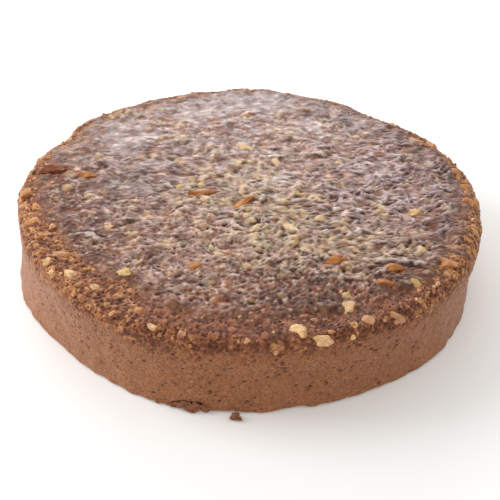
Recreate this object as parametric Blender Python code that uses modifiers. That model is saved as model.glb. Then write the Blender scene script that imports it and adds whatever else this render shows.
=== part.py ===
"""An uncut round walnut cake, built at real size in metres with +Z up.

The cake is one turned sponge with a flat base, a nearly straight wall and a rounded rim. Its
outline swells and dips a little, its top is bumpy, and chopped walnuts stand out of the top and
the rim. At the foot, on the side towards -Y, a bit of the edge has broken away, and a lump of
crumb hangs there.
"""

import bmesh
import bpy
from math import atan2, cos, exp, pi, radians, sin, sqrt, tau
from mathutils import Matrix, Vector, noise
from random import Random

# The sponge as it is turned, before it is made uneven.
RIM_RADIUS = 0.120
HEIGHT = 0.0424
RIM_ROUNDING = 0.0068
FOOT_RADIUS = 0.1192
FOOT_ROUNDING = 0.0020
WAIST_RADIUS = 0.1180
WAIST_HEIGHT = 0.018
CROWN = 0.0008

# How finely the sponge is turned.
TURN_STEPS = 96
TOP_RINGS = 12
RIM_POINTS = 5
WALL_RINGS = 5
FOOT_POINTS = 2
BASE_RINGS = 2

# Swells (+) and dips (-) of the outline: place and half width in degrees, amount in metres.
# Angles run anticlockwise from +X, so -90 is the front.
RIM_SWELLS = (
    (18, 24, 0.0020),
    (53, 11, -0.0022),
    (67, 4, 0.0020),
    (94, 12, 0.0012),
    (124, 5, -0.0010),
    (143, 7, 0.0026),
    (151, 5, -0.0026),
    (180, 7, 0.0016),
    (-163, 12, -0.0014),
)
FOOT_SWELLS = (
    (-165, 18, 0.0018),
    (-137, 8, -0.0010),
    (-108, 14, 0.0022),
    (-78, 3, -0.0012),
    (-60, 12, -0.0008),
    (-40, 8, 0.0012),
    (-13, 12, -0.0016),
)
# A finer wobble all round, as a fractal with its dimension, lacunarity and octaves.
OUTLINE_WOBBLE = 0.0007
OUTLINE_WOBBLES_ROUND = 2.6
OUTLINE_FRACTAL = (1.0, 2.0, 3)

# Bumps: height and spacing, first on the top, then on the rounded rim.
TOP_SWELL = 0.0008
TOP_SWELL_SPACING = 0.045
TOP_BUMP = 0.0010
TOP_BUMP_SPACING = 0.014
RIM_BUMP = 0.0012
RIM_BUMP_SPACING = 0.011

# Chopped walnuts: how many are scattered, their lengths, and how flat and how sunk they are.
SEED = 24
TOP_WALNUTS = 92
RIM_WALNUTS = 40
TOP_REACH = 0.106
PLACE_JITTER = 0.0055
RIM_TILT = (0.15, 0.95)
WALNUT_LENGTH = (0.0044, 0.0104)
WALNUT_WIDTH_SHARE = (0.55, 0.85)
WALNUT_THICKNESS_SHARE = 0.6
WALNUT_ROUGHNESS = 0.16
WALNUT_SUNK = 0.08
WALNUT_GAP = 0.0010

# The largest walnuts, each with its angle, its distance out as a share of the rim's radius, its
# length, its width and the direction it points in, in degrees.
LARGE_WALNUTS = (
    (-77, 0.90, 0.0090, 0.0062, 120),
    (-73, 0.97, 0.0100, 0.0044, 5),
    (-62, 0.84, 0.0095, 0.0075, 25),
    (-59, 0.93, 0.0064, 0.0056, 70),
    (-53, 0.97, 0.0068, 0.0046, 160),
    (-39, 0.87, 0.0082, 0.0056, 100),
    (-27, 0.92, 0.0118, 0.0070, 20),
    (-46, 0.78, 0.0100, 0.0054, 170),
    (-51, 0.56, 0.0098, 0.0058, 10),
    (-115, 0.52, 0.0090, 0.0068, 60),
    (-128, 0.07, 0.0135, 0.0050, 40),
    (156, 0.22, 0.0130, 0.0048, 10),
    (169, 0.87, 0.0140, 0.0072, 15),
    (168, 0.73, 0.0105, 0.0056, 175),
    (-168, 0.93, 0.0080, 0.0060, 20),
    (-160, 0.89, 0.0090, 0.0074, 60),
    (-148, 0.96, 0.0070, 0.0056, 90),
    (-131, 0.88, 0.0072, 0.0052, 30),
)

# The broken place at the foot: the gap, and the lumps of crumb left in it and beside it, each
# with its angle, its distance out as a share of the foot's radius, and its size.
GAP_ANGLE = -101
GAP_SIZE = (0.0200, 0.0070, 0.0062)
GAP_HEIGHT = 0.0022
FOOT_LUMPS = (
    (-102, 0.990, (0.0120, 0.0070, 0.0042)),
    (-107, 0.985, (0.0054, 0.0054, 0.0036)),
)
LUMP_CLEARANCE = 0.0002
CRUMB_ROUGHNESS = 0.14

MERGE_DISTANCE = 0.00001
TIDY_DISTANCE = 0.00008
SHARP_ANGLE = radians(32)


def clear_scene():
    """Empty the scene, so that only the cake is in it."""
    for item in list(bpy.data.objects):
        bpy.data.objects.remove(item, do_unlink=True)


def new_collection(name):
    """Add a collection to the scene."""
    collection = bpy.data.collections.new(name)
    bpy.context.scene.collection.children.link(collection)
    return collection


def sponge_material():
    """Baked brown sponge."""
    material = bpy.data.materials.new("sponge")
    material.use_nodes = True
    shader = material.node_tree.nodes["Principled BSDF"]
    shader.inputs["Base Color"].default_value = (0.30, 0.13, 0.065, 1.0)
    shader.inputs["Roughness"].default_value = 0.75
    shader.inputs["Metallic"].default_value = 0.0
    return material


def arc(centre, radius, start, end, count):
    """Points on an arc in the profile's plane, with both ends."""
    points = []
    for step in range(count + 1):
        angle = start + (end - start) * step / count
        points.append((centre[0] + radius * cos(angle), centre[1] + radius * sin(angle)))
    return points


def wall_radius(height):
    """Radius of the wall, which narrows to a waist between the foot and the rim."""
    rim_height = HEIGHT - RIM_ROUNDING
    if height < WAIST_HEIGHT:
        share = height / WAIST_HEIGHT
        return FOOT_RADIUS + (WAIST_RADIUS - FOOT_RADIUS) * sin(share * pi / 2)
    share = (height - WAIST_HEIGHT) / (rim_height - WAIST_HEIGHT)
    return WAIST_RADIUS + (RIM_RADIUS - WAIST_RADIUS) * (1 - cos(share * pi)) / 2


def profile_points():
    """Half section of the sponge, from the middle of the top down to the middle of the base."""
    top_edge = RIM_RADIUS - RIM_ROUNDING
    points = []
    for ring in range(TOP_RINGS):
        share = ring / TOP_RINGS
        points.append((top_edge * share, HEIGHT + CROWN * (1 - share * share)))
    rim_centre = (top_edge, HEIGHT - RIM_ROUNDING)
    points += arc(rim_centre, RIM_ROUNDING, pi / 2, 0, RIM_POINTS)
    rim_height = HEIGHT - RIM_ROUNDING
    for ring in range(1, WALL_RINGS + 1):
        height = rim_height + (FOOT_ROUNDING - rim_height) * ring / WALL_RINGS
        points.append((wall_radius(height), height))
    foot_centre = (FOOT_RADIUS - FOOT_ROUNDING, FOOT_ROUNDING)
    points += arc(foot_centre, FOOT_ROUNDING, 0, -pi / 2, FOOT_POINTS)[1:]
    for ring in range(1, BASE_RINGS + 1):
        points.append((foot_centre[0] * (1 - ring / BASE_RINGS), 0.0))
    return points


def turned_sponge(collection):
    """The plain sponge: the half section turned round the Z axis by a Screw modifier."""
    points = profile_points()
    mesh = bpy.data.meshes.new("cake")
    edges = [(index, index + 1) for index in range(len(points) - 1)]
    mesh.from_pydata([(radius, 0.0, height) for radius, height in points], edges, [])
    sponge = bpy.data.objects.new("cake", mesh)
    collection.objects.link(sponge)
    screw = sponge.modifiers.new("turn", "SCREW")
    screw.axis = "Z"
    screw.angle = tau
    screw.steps = TURN_STEPS
    screw.render_steps = TURN_STEPS
    screw.use_merge_vertices = True
    screw.merge_threshold = MERGE_DISTANCE
    apply_modifiers(sponge)
    return sponge


def apply_modifiers(item):
    """Replace an object's mesh by what its modifiers make of it."""
    graph = bpy.context.evaluated_depsgraph_get()
    mesh = bpy.data.meshes.new_from_object(item.evaluated_get(graph))
    item.modifiers.clear()
    item.data = mesh


def swell(angle, swells):
    """How far the outline stands out or in at an angle, from a list of swells."""
    total = 0.0
    for place, half_width, amount in swells:
        away = (angle - radians(place) + pi) % tau - pi
        total += amount * exp(-((away / radians(half_width)) ** 2))
    return total


def outline_factor(angle, height):
    """Scale of the radius at an angle and a height, which makes the outline uneven."""
    round_place = Vector((cos(angle), sin(angle), 0.0)) * OUTLINE_WOBBLES_ROUND
    wobble = OUTLINE_WOBBLE * noise.fractal(round_place, *OUTLINE_FRACTAL)
    share = min(max(height / HEIGHT, 0.0), 1.0)
    blend = share * share * (3 - 2 * share)
    offset = wobble + blend * swell(angle, RIM_SWELLS) + (1 - blend) * swell(angle, FOOT_SWELLS)
    return 1 + offset / RIM_RADIUS


def bump(point, height, spacing):
    """Smooth random bump, positive or negative, at a point."""
    return height * noise.noise(point / spacing)


def surface_offset(point, normal):
    """How far a point of the sponge moves along its normal: bumps on the top and the rim."""
    top = min(max(normal.z, 0.0), 1.0)
    rim = 4 * top * (1 - top)
    flat = bump(point, TOP_SWELL, TOP_SWELL_SPACING) + bump(point, TOP_BUMP, TOP_BUMP_SPACING)
    return top * flat + rim * bump(point, RIM_BUMP, RIM_BUMP_SPACING)


def make_uneven(sponge):
    """Give the turned sponge its uneven outline and its bumps, and keep the base flat."""
    normals = [vertex.normal.copy() for vertex in sponge.data.vertices]
    for vertex, normal in zip(sponge.data.vertices, normals):
        point = vertex.co.copy()
        factor = outline_factor(atan2(point.y, point.x), point.z)
        point.x *= factor
        point.y *= factor
        if vertex.co.z > FOOT_ROUNDING:
            point += normal * surface_offset(vertex.co, normal)
        vertex.co = point


def surface_at(sponge, angle, distance, tilt):
    """Point and normal of the sponge, met by a ray from outside.

    The ray comes straight down at the distance given, or for a tilt above zero, it leans outwards
    and meets the rounded rim.
    """
    outwards = Vector((cos(angle), sin(angle), 0.0))
    away = outwards * sin(tilt) + Vector((0.0, 0.0, cos(tilt)))
    aim = outwards * distance + Vector((0.0, 0.0, HEIGHT - RIM_ROUNDING))
    start = aim + away * RIM_RADIUS
    hit, place, normal, _ = sponge.ray_cast(start, -away)
    if not hit:
        raise RuntimeError("a walnut has no place on the sponge")
    return place, normal


def rough_lump(name, detail, roughness, random, collection):
    """An angular lump, one metre across and round the origin, as a new object."""
    bpy.ops.mesh.primitive_ico_sphere_add(subdivisions=detail, radius=0.5)
    lump = bpy.context.object
    lump.name = name
    for vertex in lump.data.vertices:
        vertex.co *= 1 + random.uniform(-roughness, roughness)
    for owner in list(lump.users_collection):
        owner.objects.unlink(lump)
    collection.objects.link(lump)
    return lump


def walnut(name, size, place, normal, turn, random, collection):
    """One chopped walnut: a flat angular lump, half sunk in the surface."""
    piece = rough_lump(name, 1, WALNUT_ROUGHNESS, random, collection)
    upright = normal.to_track_quat("Z", "Y").to_matrix().to_4x4()
    centre = place - normal * size[2] * WALNUT_SUNK
    shape = Matrix.Rotation(turn, 4, "Z") @ Matrix.Diagonal((*size, 1.0))
    piece.data.transform(Matrix.Translation(centre) @ upright @ shape)


def large_walnuts():
    """The hand-placed walnuts, as length, width, angle, distance, tilt and turn."""
    edge = RIM_RADIUS - RIM_ROUNDING
    pieces = []
    for angle, reach, length, width, turn in LARGE_WALNUTS:
        distance = reach * RIM_RADIUS
        tilt = max(distance - edge, 0.0) / RIM_ROUNDING
        pieces.append((length, width, radians(angle), min(distance, edge), tilt, radians(turn)))
    return pieces


def scattered_walnuts(random):
    """Walnuts spread evenly over the top on a sunflower spiral, then in a ring on the rim.

    The longest come first, so that those that find no room are the smallest.
    """
    golden_angle = pi * (3 - sqrt(5))
    pieces = []
    for index in range(TOP_WALNUTS + RIM_WALNUTS):
        length = random.uniform(*WALNUT_LENGTH)
        width = length * random.uniform(*WALNUT_WIDTH_SHARE)
        inwards = random.uniform(0, PLACE_JITTER)
        sideways = random.uniform(-PLACE_JITTER, PLACE_JITTER)
        if index < TOP_WALNUTS:
            distance = TOP_REACH * sqrt((index + 1) / TOP_WALNUTS) - inwards
            angle = index * golden_angle
            tilt = 0.0
        else:
            distance = RIM_RADIUS - RIM_ROUNDING
            angle = (index - TOP_WALNUTS) * tau / RIM_WALNUTS
            tilt = random.uniform(*RIM_TILT)
        angle += sideways / distance
        pieces.append((length, width, angle, distance, tilt, random.uniform(0, pi)))
    return sorted(pieces, reverse=True)


def add_walnuts(sponge, collection):
    """Stand every walnut that has room on the sponge's top and rim."""
    random = Random(SEED)
    taken = []
    for length, width, angle, distance, tilt, turn in large_walnuts() + scattered_walnuts(random):
        place, normal = surface_at(sponge, angle, distance, tilt)
        room = (length + width) / 4
        if any((place - other).length < room + kept + WALNUT_GAP for other, kept in taken):
            continue
        taken.append((place, room))
        size = (length, width, width * WALNUT_THICKNESS_SHARE)
        walnut("walnut_%d" % len(taken), size, place, normal, turn, random, collection)


def foot_lump(name, angle, reach, height, size, random, collection):
    """A rough lump at a height on the foot's outline, with its length along the foot."""
    turn = radians(angle)
    distance = FOOT_RADIUS * reach * outline_factor(turn, height)
    place = Matrix.Translation((distance * cos(turn), distance * sin(turn), height))
    lump = rough_lump(name, 2, CRUMB_ROUGHNESS, random, collection)
    shape = Matrix.Rotation(turn + pi / 2, 4, "Z") @ Matrix.Diagonal((*size, 1.0))
    lump.data.transform(place @ shape)
    return lump


def standing_height(size):
    """Height of a rough lump's middle that keeps its underside just above the base."""
    return size[2] / 2 * (1 + CRUMB_ROUGHNESS) + LUMP_CLEARANCE


def fuse_or_cut(item, operation, collection):
    """Join a collection to an object, or cut it away, and remove the pieces used."""
    step = item.modifiers.new(operation.lower(), "BOOLEAN")
    step.operation = operation
    step.operand_type = "COLLECTION"
    step.collection = collection
    step.solver = "EXACT"
    apply_modifiers(item)
    for used in list(collection.objects):
        bpy.data.objects.remove(used, do_unlink=True)


def tidy(item):
    """Join points that joining and cutting left almost on each other."""
    cleaner = bmesh.new()
    cleaner.from_mesh(item.data)
    bmesh.ops.remove_doubles(cleaner, verts=cleaner.verts, dist=TIDY_DISTANCE)
    bmesh.ops.dissolve_degenerate(cleaner, edges=cleaner.edges, dist=TIDY_DISTANCE)
    bmesh.ops.triangulate(cleaner, faces=cleaner.faces)
    cleaner.to_mesh(item.data)
    cleaner.free()


def build_cake():
    """Turn the sponge, make it uneven, break its foot and fuse the walnuts to it."""
    clear_scene()
    cake_pieces = new_collection("walnut_cake")
    cutters = new_collection("cutters")
    toppings = new_collection("toppings")
    sponge = turned_sponge(cake_pieces)
    make_uneven(sponge)
    random = Random(SEED + 1)
    gap = foot_lump("gap", GAP_ANGLE, 1.0, GAP_HEIGHT, GAP_SIZE, random, cutters)
    gap.hide_render = True
    gap.display_type = "WIRE"
    fuse_or_cut(sponge, "DIFFERENCE", cutters)
    for number, (angle, reach, size) in enumerate(FOOT_LUMPS):
        name = "foot_lump_%d" % number
        foot_lump(name, angle, reach, standing_height(size), size, random, toppings)
    add_walnuts(sponge, toppings)
    fuse_or_cut(sponge, "UNION", toppings)
    tidy(sponge)
    sponge.data.materials.clear()
    sponge.data.materials.append(sponge_material())
    sponge.data.shade_smooth()
    sponge.data.set_sharp_from_angle(angle=SHARP_ANGLE)


build_cake()
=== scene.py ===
from collections import namedtuple
from math import cos, pi, radians, sin, sqrt, tau
from random import Random
from types import SimpleNamespace

import bpy
import numpy as np
from mathutils import Matrix, Vector, noise
from mathutils.bvhtree import BVHTree


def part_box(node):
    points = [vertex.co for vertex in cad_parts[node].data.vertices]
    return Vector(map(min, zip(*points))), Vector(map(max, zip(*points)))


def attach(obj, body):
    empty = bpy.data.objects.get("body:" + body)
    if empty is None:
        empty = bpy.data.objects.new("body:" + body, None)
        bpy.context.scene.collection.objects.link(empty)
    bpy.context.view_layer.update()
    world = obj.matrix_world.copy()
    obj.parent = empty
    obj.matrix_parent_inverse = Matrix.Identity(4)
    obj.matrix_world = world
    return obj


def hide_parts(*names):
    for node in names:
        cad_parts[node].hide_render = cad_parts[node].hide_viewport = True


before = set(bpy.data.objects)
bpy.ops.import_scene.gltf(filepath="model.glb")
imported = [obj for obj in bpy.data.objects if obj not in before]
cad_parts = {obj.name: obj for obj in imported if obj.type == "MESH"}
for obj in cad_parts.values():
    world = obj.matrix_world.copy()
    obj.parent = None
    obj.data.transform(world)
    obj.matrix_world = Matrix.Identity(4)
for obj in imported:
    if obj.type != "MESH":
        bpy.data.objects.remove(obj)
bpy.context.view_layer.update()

# ---- Sizes, in metres. The cake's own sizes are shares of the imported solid's box. ----

cake_low, cake_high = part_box("cake")
RIM_RADIUS = 0.9904 * (cake_high.x - cake_low.x) / 2
HEIGHT = 0.9297 * cake_high.z
RIM_ROUNDING = 0.0068
FOOT_RADIUS = 0.9933 * RIM_RADIUS
FOOT_ROUNDING = 0.0020
WAIST_RADIUS = 0.9833 * RIM_RADIUS
WAIST_HEIGHT = 0.018
CROWN = 0.0008

# Swells (+) and dips (-) of the outline: place and half width in degrees, amount. Angles run
# anticlockwise from +X, so -90 is the front.
RIM_SWELLS = (
    (18, 24, 0.0020), (53, 11, -0.0022), (67, 4, 0.0020), (94, 12, 0.0012), (124, 5, -0.0010),
    (143, 7, 0.0026), (151, 5, -0.0026), (180, 7, 0.0016), (-163, 12, -0.0014),
)
FOOT_SWELLS = (
    (-165, 18, 0.0018), (-137, 8, -0.0010), (-108, 14, 0.0022), (-78, 3, -0.0012),
    (-60, 12, -0.0008), (-40, 8, 0.0012), (-13, 12, -0.0016),
)
OUTLINE_WOBBLE = 0.0007
OUTLINE_WOBBLES_ROUND = 2.6
OUTLINE_FRACTAL = (1.0, 2.0, 3)
OUTLINE_STEPS = 721

# Coarse bumps of the solid: height and spacing.
TOP_SWELL = (0.0008, 0.045)
TOP_BUMP = (0.0010, 0.014)
RIM_BUMP = (0.0012, 0.011)

# How finely the pieces are meshed: columns and rows of the glaze, of the crumbly rim and of the
# wall.
GLAZE_COLUMNS = 320
GLAZE_ROWS = 298
RIM_COLUMNS = 1360
RIM_ROWS = 71
WALL_COLUMNS = 1240
WALL_ROWS = 58

# Height maps: one seen from above, and one wound round the side, over the rim and inwards.
MAP_PIXEL = 0.00025
TOP_MAP_REACH = 0.120
SIDE_MAP_INWARDS = 0.025

# The section of the cake: length along it from the foot up, over the rim and to the middle.
FOOT_ARC = FOOT_ROUNDING * pi / 2
RIM_HEIGHT = HEIGHT - RIM_ROUNDING
WALL_END = FOOT_ARC + RIM_HEIGHT - FOOT_ROUNDING
RIM_END = WALL_END + RIM_ROUNDING * pi / 2
TOP_EDGE = RIM_RADIUS - RIM_ROUNDING
SECTION_END = RIM_END + TOP_EDGE


def smooth(low, high, value):
    """0 below low, 1 above high and an even S between."""
    share = np.clip((value - low) / (high - low), 0.0, 1.0)
    return share * share * (3 - 2 * share)


def mix(first, second, share):
    """Blend of two values or colours."""
    return first + (second - first) * share


def srgb(red, green, blue):
    """Linear colour from the usual 0 to 255 values."""
    values = np.array((red, green, blue)) / 255
    return np.where(values < 0.04045, values / 12.92, ((values + 0.055) / 1.055) ** 2.4)


# ---- The cake's form ----


def section(along):
    """Radius, height and the normal's two parts at a length along the section."""
    along = np.asarray(along, float)
    foot_angle = np.clip(along / FOOT_ROUNDING, 0, pi / 2) - pi / 2
    foot_r = FOOT_RADIUS - FOOT_ROUNDING + FOOT_ROUNDING * np.cos(foot_angle)
    foot_z = FOOT_ROUNDING + FOOT_ROUNDING * np.sin(foot_angle)
    wall_z = FOOT_ROUNDING + np.clip(along, FOOT_ARC, WALL_END) - FOOT_ARC
    low = np.sin(np.clip(wall_z / WAIST_HEIGHT, 0, 1) * pi / 2)
    high = (1 - np.cos(np.clip((wall_z - WAIST_HEIGHT) / (RIM_HEIGHT - WAIST_HEIGHT), 0, 1) * pi)) / 2
    wall_r = mix(mix(FOOT_RADIUS, WAIST_RADIUS, low), RIM_RADIUS, high)
    rim_angle = np.clip((along - WALL_END) / RIM_ROUNDING, 0, pi / 2)
    rim_r = TOP_EDGE + RIM_ROUNDING * np.cos(rim_angle)
    rim_z = RIM_HEIGHT + RIM_ROUNDING * np.sin(rim_angle)
    top_r = np.clip(SECTION_END - along, 0, TOP_EDGE)
    top_z = HEIGHT + CROWN * (1 - (top_r / TOP_EDGE) ** 2)
    parts = [along < FOOT_ARC, along < WALL_END, along < RIM_END]
    radius = np.select(parts, [foot_r, wall_r, rim_r], top_r)
    height = np.select(parts, [foot_z, wall_z, rim_z], top_z)
    normal_out = np.select(parts, [np.cos(foot_angle), 1.0, np.cos(rim_angle)], 0.0)
    normal_up = np.select(parts, [np.sin(foot_angle), 0.0, np.sin(rim_angle)], 1.0)
    return radius, height, normal_out, normal_up


def swell(angle, swells):
    """How far the outline stands out or in at each angle."""
    total = np.zeros_like(angle)
    for place, half_width, amount in swells:
        away = (angle - radians(place) + pi) % tau - pi
        total += amount * np.exp(-((away / radians(half_width)) ** 2))
    return total


def outline_factor(angle, height):
    """Scale of the radius that makes the outline uneven."""
    steps = np.linspace(-pi, pi, OUTLINE_STEPS)
    table = []
    for step in steps:
        place = Vector((cos(step), sin(step), 0.0)) * OUTLINE_WOBBLES_ROUND
        table.append(noise.fractal(place, *OUTLINE_FRACTAL))
    wobble = OUTLINE_WOBBLE * np.interp((angle + pi) % tau - pi, steps, table)
    swells = mix(swell(angle, FOOT_SWELLS), swell(angle, RIM_SWELLS), smooth(0.0, HEIGHT, height))
    return 1 + (wobble + swells) / RIM_RADIUS


def noise_at(points, spacing):
    """Smooth noise at each point."""
    return np.array([noise.noise(Vector(point)) for point in points / spacing])


def coarse_offset(points, normal_up):
    """The solid's own bumps on the top and the rim, along the normal."""
    top = np.clip(normal_up, 0, 1)
    rim = 4 * top * (1 - top)
    offset = np.zeros(len(points))
    bumpy = top > 0
    for (height, spacing), share in ((TOP_SWELL, top), (TOP_BUMP, top), (RIM_BUMP, rim)):
        offset[bumpy] += share[bumpy] * height * noise_at(points[bumpy], spacing)
    return offset


def cake_points(angle, along, fine):
    """Points of the cake's surface at angles and lengths along the section, with fine relief."""
    radius, height, normal_out, normal_up = section(along)
    plain = np.stack([radius * np.cos(angle), radius * np.sin(angle), height], axis=1)
    offset = coarse_offset(plain, normal_up) + fine
    radius = radius * outline_factor(angle, height) + normal_out * offset
    height = np.maximum(height + normal_up * offset, 0.0)
    return np.stack([radius * np.cos(angle), radius * np.sin(angle), height], axis=1)


# ---- Height maps ----

# An angular lump. Its middle and size, which is half its length, are in map pixels, and its height
# in metres. The bevel says how wide its sloping sides are.
Lump = namedtuple("Lump", "row column size width_share height bevel lean turn seed")

# How angular lumps are shaped, and the widths and leans of scattered ones.
LUMP_SIDES = (5, 7)
LUMP_SIDE_TURN = 0.3
LUMP_SIDE_REACH = (0.75, 1.1)
LUMP_ROOM = 1.25
LUMP_ROUNDNESS = 0.75
LUMP_WIDTHS = (0.5, 0.95)
LUMP_LEAN = 0.5

# How narrow a band of sizes one layer of noise has, and the spacing of the bends in folds.
BAND_NARROWNESS = 3
BEND_SPACING = 2.4


def band_noise(shape, spacing, seed, stretch=1.0):
    """Map of noise with one size of bump, which wraps round, mostly from -2 to 2."""
    random = np.random.default_rng(seed)
    spectrum = np.fft.rfft2(random.standard_normal(shape))
    rows = np.fft.fftfreq(shape[0])[:, None]
    columns = np.fft.rfftfreq(shape[1])[None, :]
    frequency = np.hypot(rows / sqrt(stretch), columns * sqrt(stretch)) * spacing / MAP_PIXEL
    made = np.fft.irfft2(spectrum * np.exp(-((frequency - 1) ** 2) * BAND_NARROWNESS), shape)
    return made / made.std()


def noise_sum(shape, *layers):
    """Sum of layers of noise, each given as its strength, spacing and seed."""
    return sum(strength * band_noise(shape, spacing, seed) for strength, spacing, seed in layers)


def blurred(field, spread):
    """Map blurred by a Gaussian, wrapping round."""
    rows = np.fft.fftfreq(field.shape[0])[:, None]
    columns = np.fft.rfftfreq(field.shape[1])[None, :]
    pixels = spread / MAP_PIXEL
    weight = np.exp(-2 * (pi * pixels) ** 2 * (rows * rows + columns * columns))
    return np.fft.irfft2(np.fft.rfft2(field) * weight, field.shape)


def sample(field, row, column):
    """Values of a map at fractional rows and columns, wrapping round."""
    low_row = np.floor(row).astype(int)
    low_column = np.floor(column).astype(int)
    down = row - low_row
    across = column - low_column
    if field.ndim == 3:
        down = down[..., None]
        across = across[..., None]
    rows = (low_row % field.shape[0], (low_row + 1) % field.shape[0])
    columns = (low_column % field.shape[1], (low_column + 1) % field.shape[1])
    upper, lower = [mix(field[place, columns[0]], field[place, columns[1]], across) for place in rows]
    return mix(upper, lower, down)


def wrinkles(shape, spacing, seed):
    """Map of long, bent folds: 1 on their crests, falling off steeply on both sides."""
    rows, columns = np.indices(shape).astype(float)
    bend = FOLD_BEND * spacing / MAP_PIXEL
    rows += bend * band_noise(shape, BEND_SPACING * spacing, seed + 1)
    columns += bend * band_noise(shape, BEND_SPACING * spacing, seed + 2)
    straight = band_noise(shape, spacing, seed, FOLD_STRETCH)
    steepness = spacing / FOLD_WIDTH
    return np.exp(-steepness * np.abs(sample(straight, rows, columns)))


def window(row, column, reach):
    """Rows and columns of a map within reach of a place."""
    return [np.arange(int(middle) - reach, int(middle) + reach + 1) for middle in (row, column)]


def raise_lumps(shape, lumps):
    """Height map of angular lumps, the highest winning, and a map of which lump won."""
    height = np.full(shape, -1.0)
    owner = np.zeros(shape, int)
    for number, lump in enumerate(lumps):
        random = Random(lump.seed)
        rows, columns = window(lump.row, lump.column, int(lump.size * LUMP_ROOM) + 1)
        down = (rows - lump.row)[:, None] / lump.size
        across = (columns - lump.column)[None, :] / lump.size
        lengthways = down * sin(lump.turn) + across * cos(lump.turn)
        sideways = (down * cos(lump.turn) - across * sin(lump.turn)) / lump.width_share
        sides = random.randint(*LUMP_SIDES)
        outline = np.full((len(rows), len(columns)), -1.0)
        for side in range(sides):
            angle = (side + random.uniform(-LUMP_SIDE_TURN, LUMP_SIDE_TURN)) * tau / sides
            far = random.uniform(*LUMP_SIDE_REACH)
            outline = np.maximum(outline, (lengthways * cos(angle) + sideways * sin(angle)) / far)
        body = np.clip((1 - outline) / lump.bevel, 0, 1) ** LUMP_ROUNDNESS
        lean = 1 + lump.lean[0] * down + lump.lean[1] * across
        made = np.where(outline < 1, lump.height * body * lean, -1.0)
        place = np.ix_(rows % shape[0], columns % shape[1])
        wins = made > height[place]
        height[place] = np.where(wins, made, height[place])
        owner[place] = np.where(wins, number, owner[place])
    return height, owner


def scattered_lumps(rows, columns, count, sizes, small_bias, tallness, bevel, seed):
    """Lumps for raise_lumps, spread at random over a span of rows and of columns."""
    random = Random(seed)
    lumps = []
    for _ in range(count):
        size = mix(*sizes, random.random() ** small_bias) / 2 / MAP_PIXEL
        lump = Lump(
            row=random.uniform(*rows),
            column=random.uniform(*columns),
            size=size,
            width_share=random.uniform(*LUMP_WIDTHS),
            height=size * MAP_PIXEL * random.uniform(*tallness),
            bevel=bevel,
            lean=(random.uniform(-LUMP_LEAN, LUMP_LEAN), random.uniform(-LUMP_LEAN, LUMP_LEAN)),
            turn=random.uniform(0, pi),
            seed=random.random(),
        )
        lumps.append(lump)
    return lumps


# ---- Walnuts as the solid has them ----

SEED = 24
WALNUT_LOOKS_SEED = 31
CRUMB_LOOKS_SEED = 33
FOOT_LOOKS_SEED = 35
TOP_WALNUTS = 92
RIM_WALNUTS = 40
TOP_REACH = 0.106
PLACE_JITTER = 0.0055
RIM_TILT = (0.15, 0.95)
WALNUT_LENGTH = (0.0044, 0.0104)
WALNUT_WIDTH_SHARE = (0.55, 0.85)
WALNUT_THICKNESS_SHARE = 0.6
WALNUT_SUNK = 0.16
WALNUT_BEVEL = 0.6


def scattered_walnuts():
    """Walnuts on a sunflower spiral over the top and in a ring on the rim, the longest first."""
    random = Random(SEED)
    golden_angle = pi * (3 - sqrt(5))
    pieces = []
    for index in range(TOP_WALNUTS + RIM_WALNUTS):
        length = random.uniform(*WALNUT_LENGTH)
        width = length * random.uniform(*WALNUT_WIDTH_SHARE)
        inwards = random.uniform(0, PLACE_JITTER)
        sideways = random.uniform(-PLACE_JITTER, PLACE_JITTER)
        if index < TOP_WALNUTS:
            distance = TOP_REACH * sqrt((index + 1) / TOP_WALNUTS) - inwards
            angle = index * golden_angle
            tilt = 0.0
            colour = "glazed"
        else:
            distance = RIM_RADIUS - RIM_ROUNDING
            angle = (index - TOP_WALNUTS) * tau / RIM_WALNUTS
            tilt = random.uniform(*RIM_TILT)
            colour = "rim"
        angle += sideways / distance
        pieces.append((length, width, angle, distance, tilt, random.uniform(0, pi), colour))
    return sorted(pieces, key=lambda piece: piece[:6], reverse=True)


def walnut_lumps():
    """The top's larger walnuts, as the solid has them, for raise_lumps to set under the film."""
    lumps = []
    for number, (length, width, angle, distance, _, turn, kind) in enumerate(scattered_walnuts()):
        if kind == "glazed":
            row = (TOP_MAP_REACH + distance * sin(angle)) / MAP_PIXEL
            column = (TOP_MAP_REACH + distance * cos(angle)) / MAP_PIXEL
            size = length / 2 / MAP_PIXEL
            height = width * WALNUT_THICKNESS_SHARE * (0.5 - WALNUT_SUNK)
            level = (0.0, 0.0)
            lump = Lump(row, column, size, width / length, height, WALNUT_BEVEL, level, turn, number)
            lumps.append(lump)
    return lumps


# ---- The glazed top as maps seen from above ----

# Small nuts under the film: number, sizes, bias to small ones, height for their size, bevel, seed.
SMALL_NUTS = (3600, (0.0018, 0.0070), 2.0, (0.14, 0.40), 0.5, 5)

# Spacing of the glaze's folds and how high they stand, how far they are drawn out across the
# cake, how much they bend, and a measure of how wide their crests are.
FOLDS = ((0.0125, 0.00074), (0.0078, 0.00060), (0.0046, 0.00034))
FOLD_STRETCH = 2.2
FOLD_BEND = 0.26
FOLD_WIDTH = 0.0075

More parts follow.
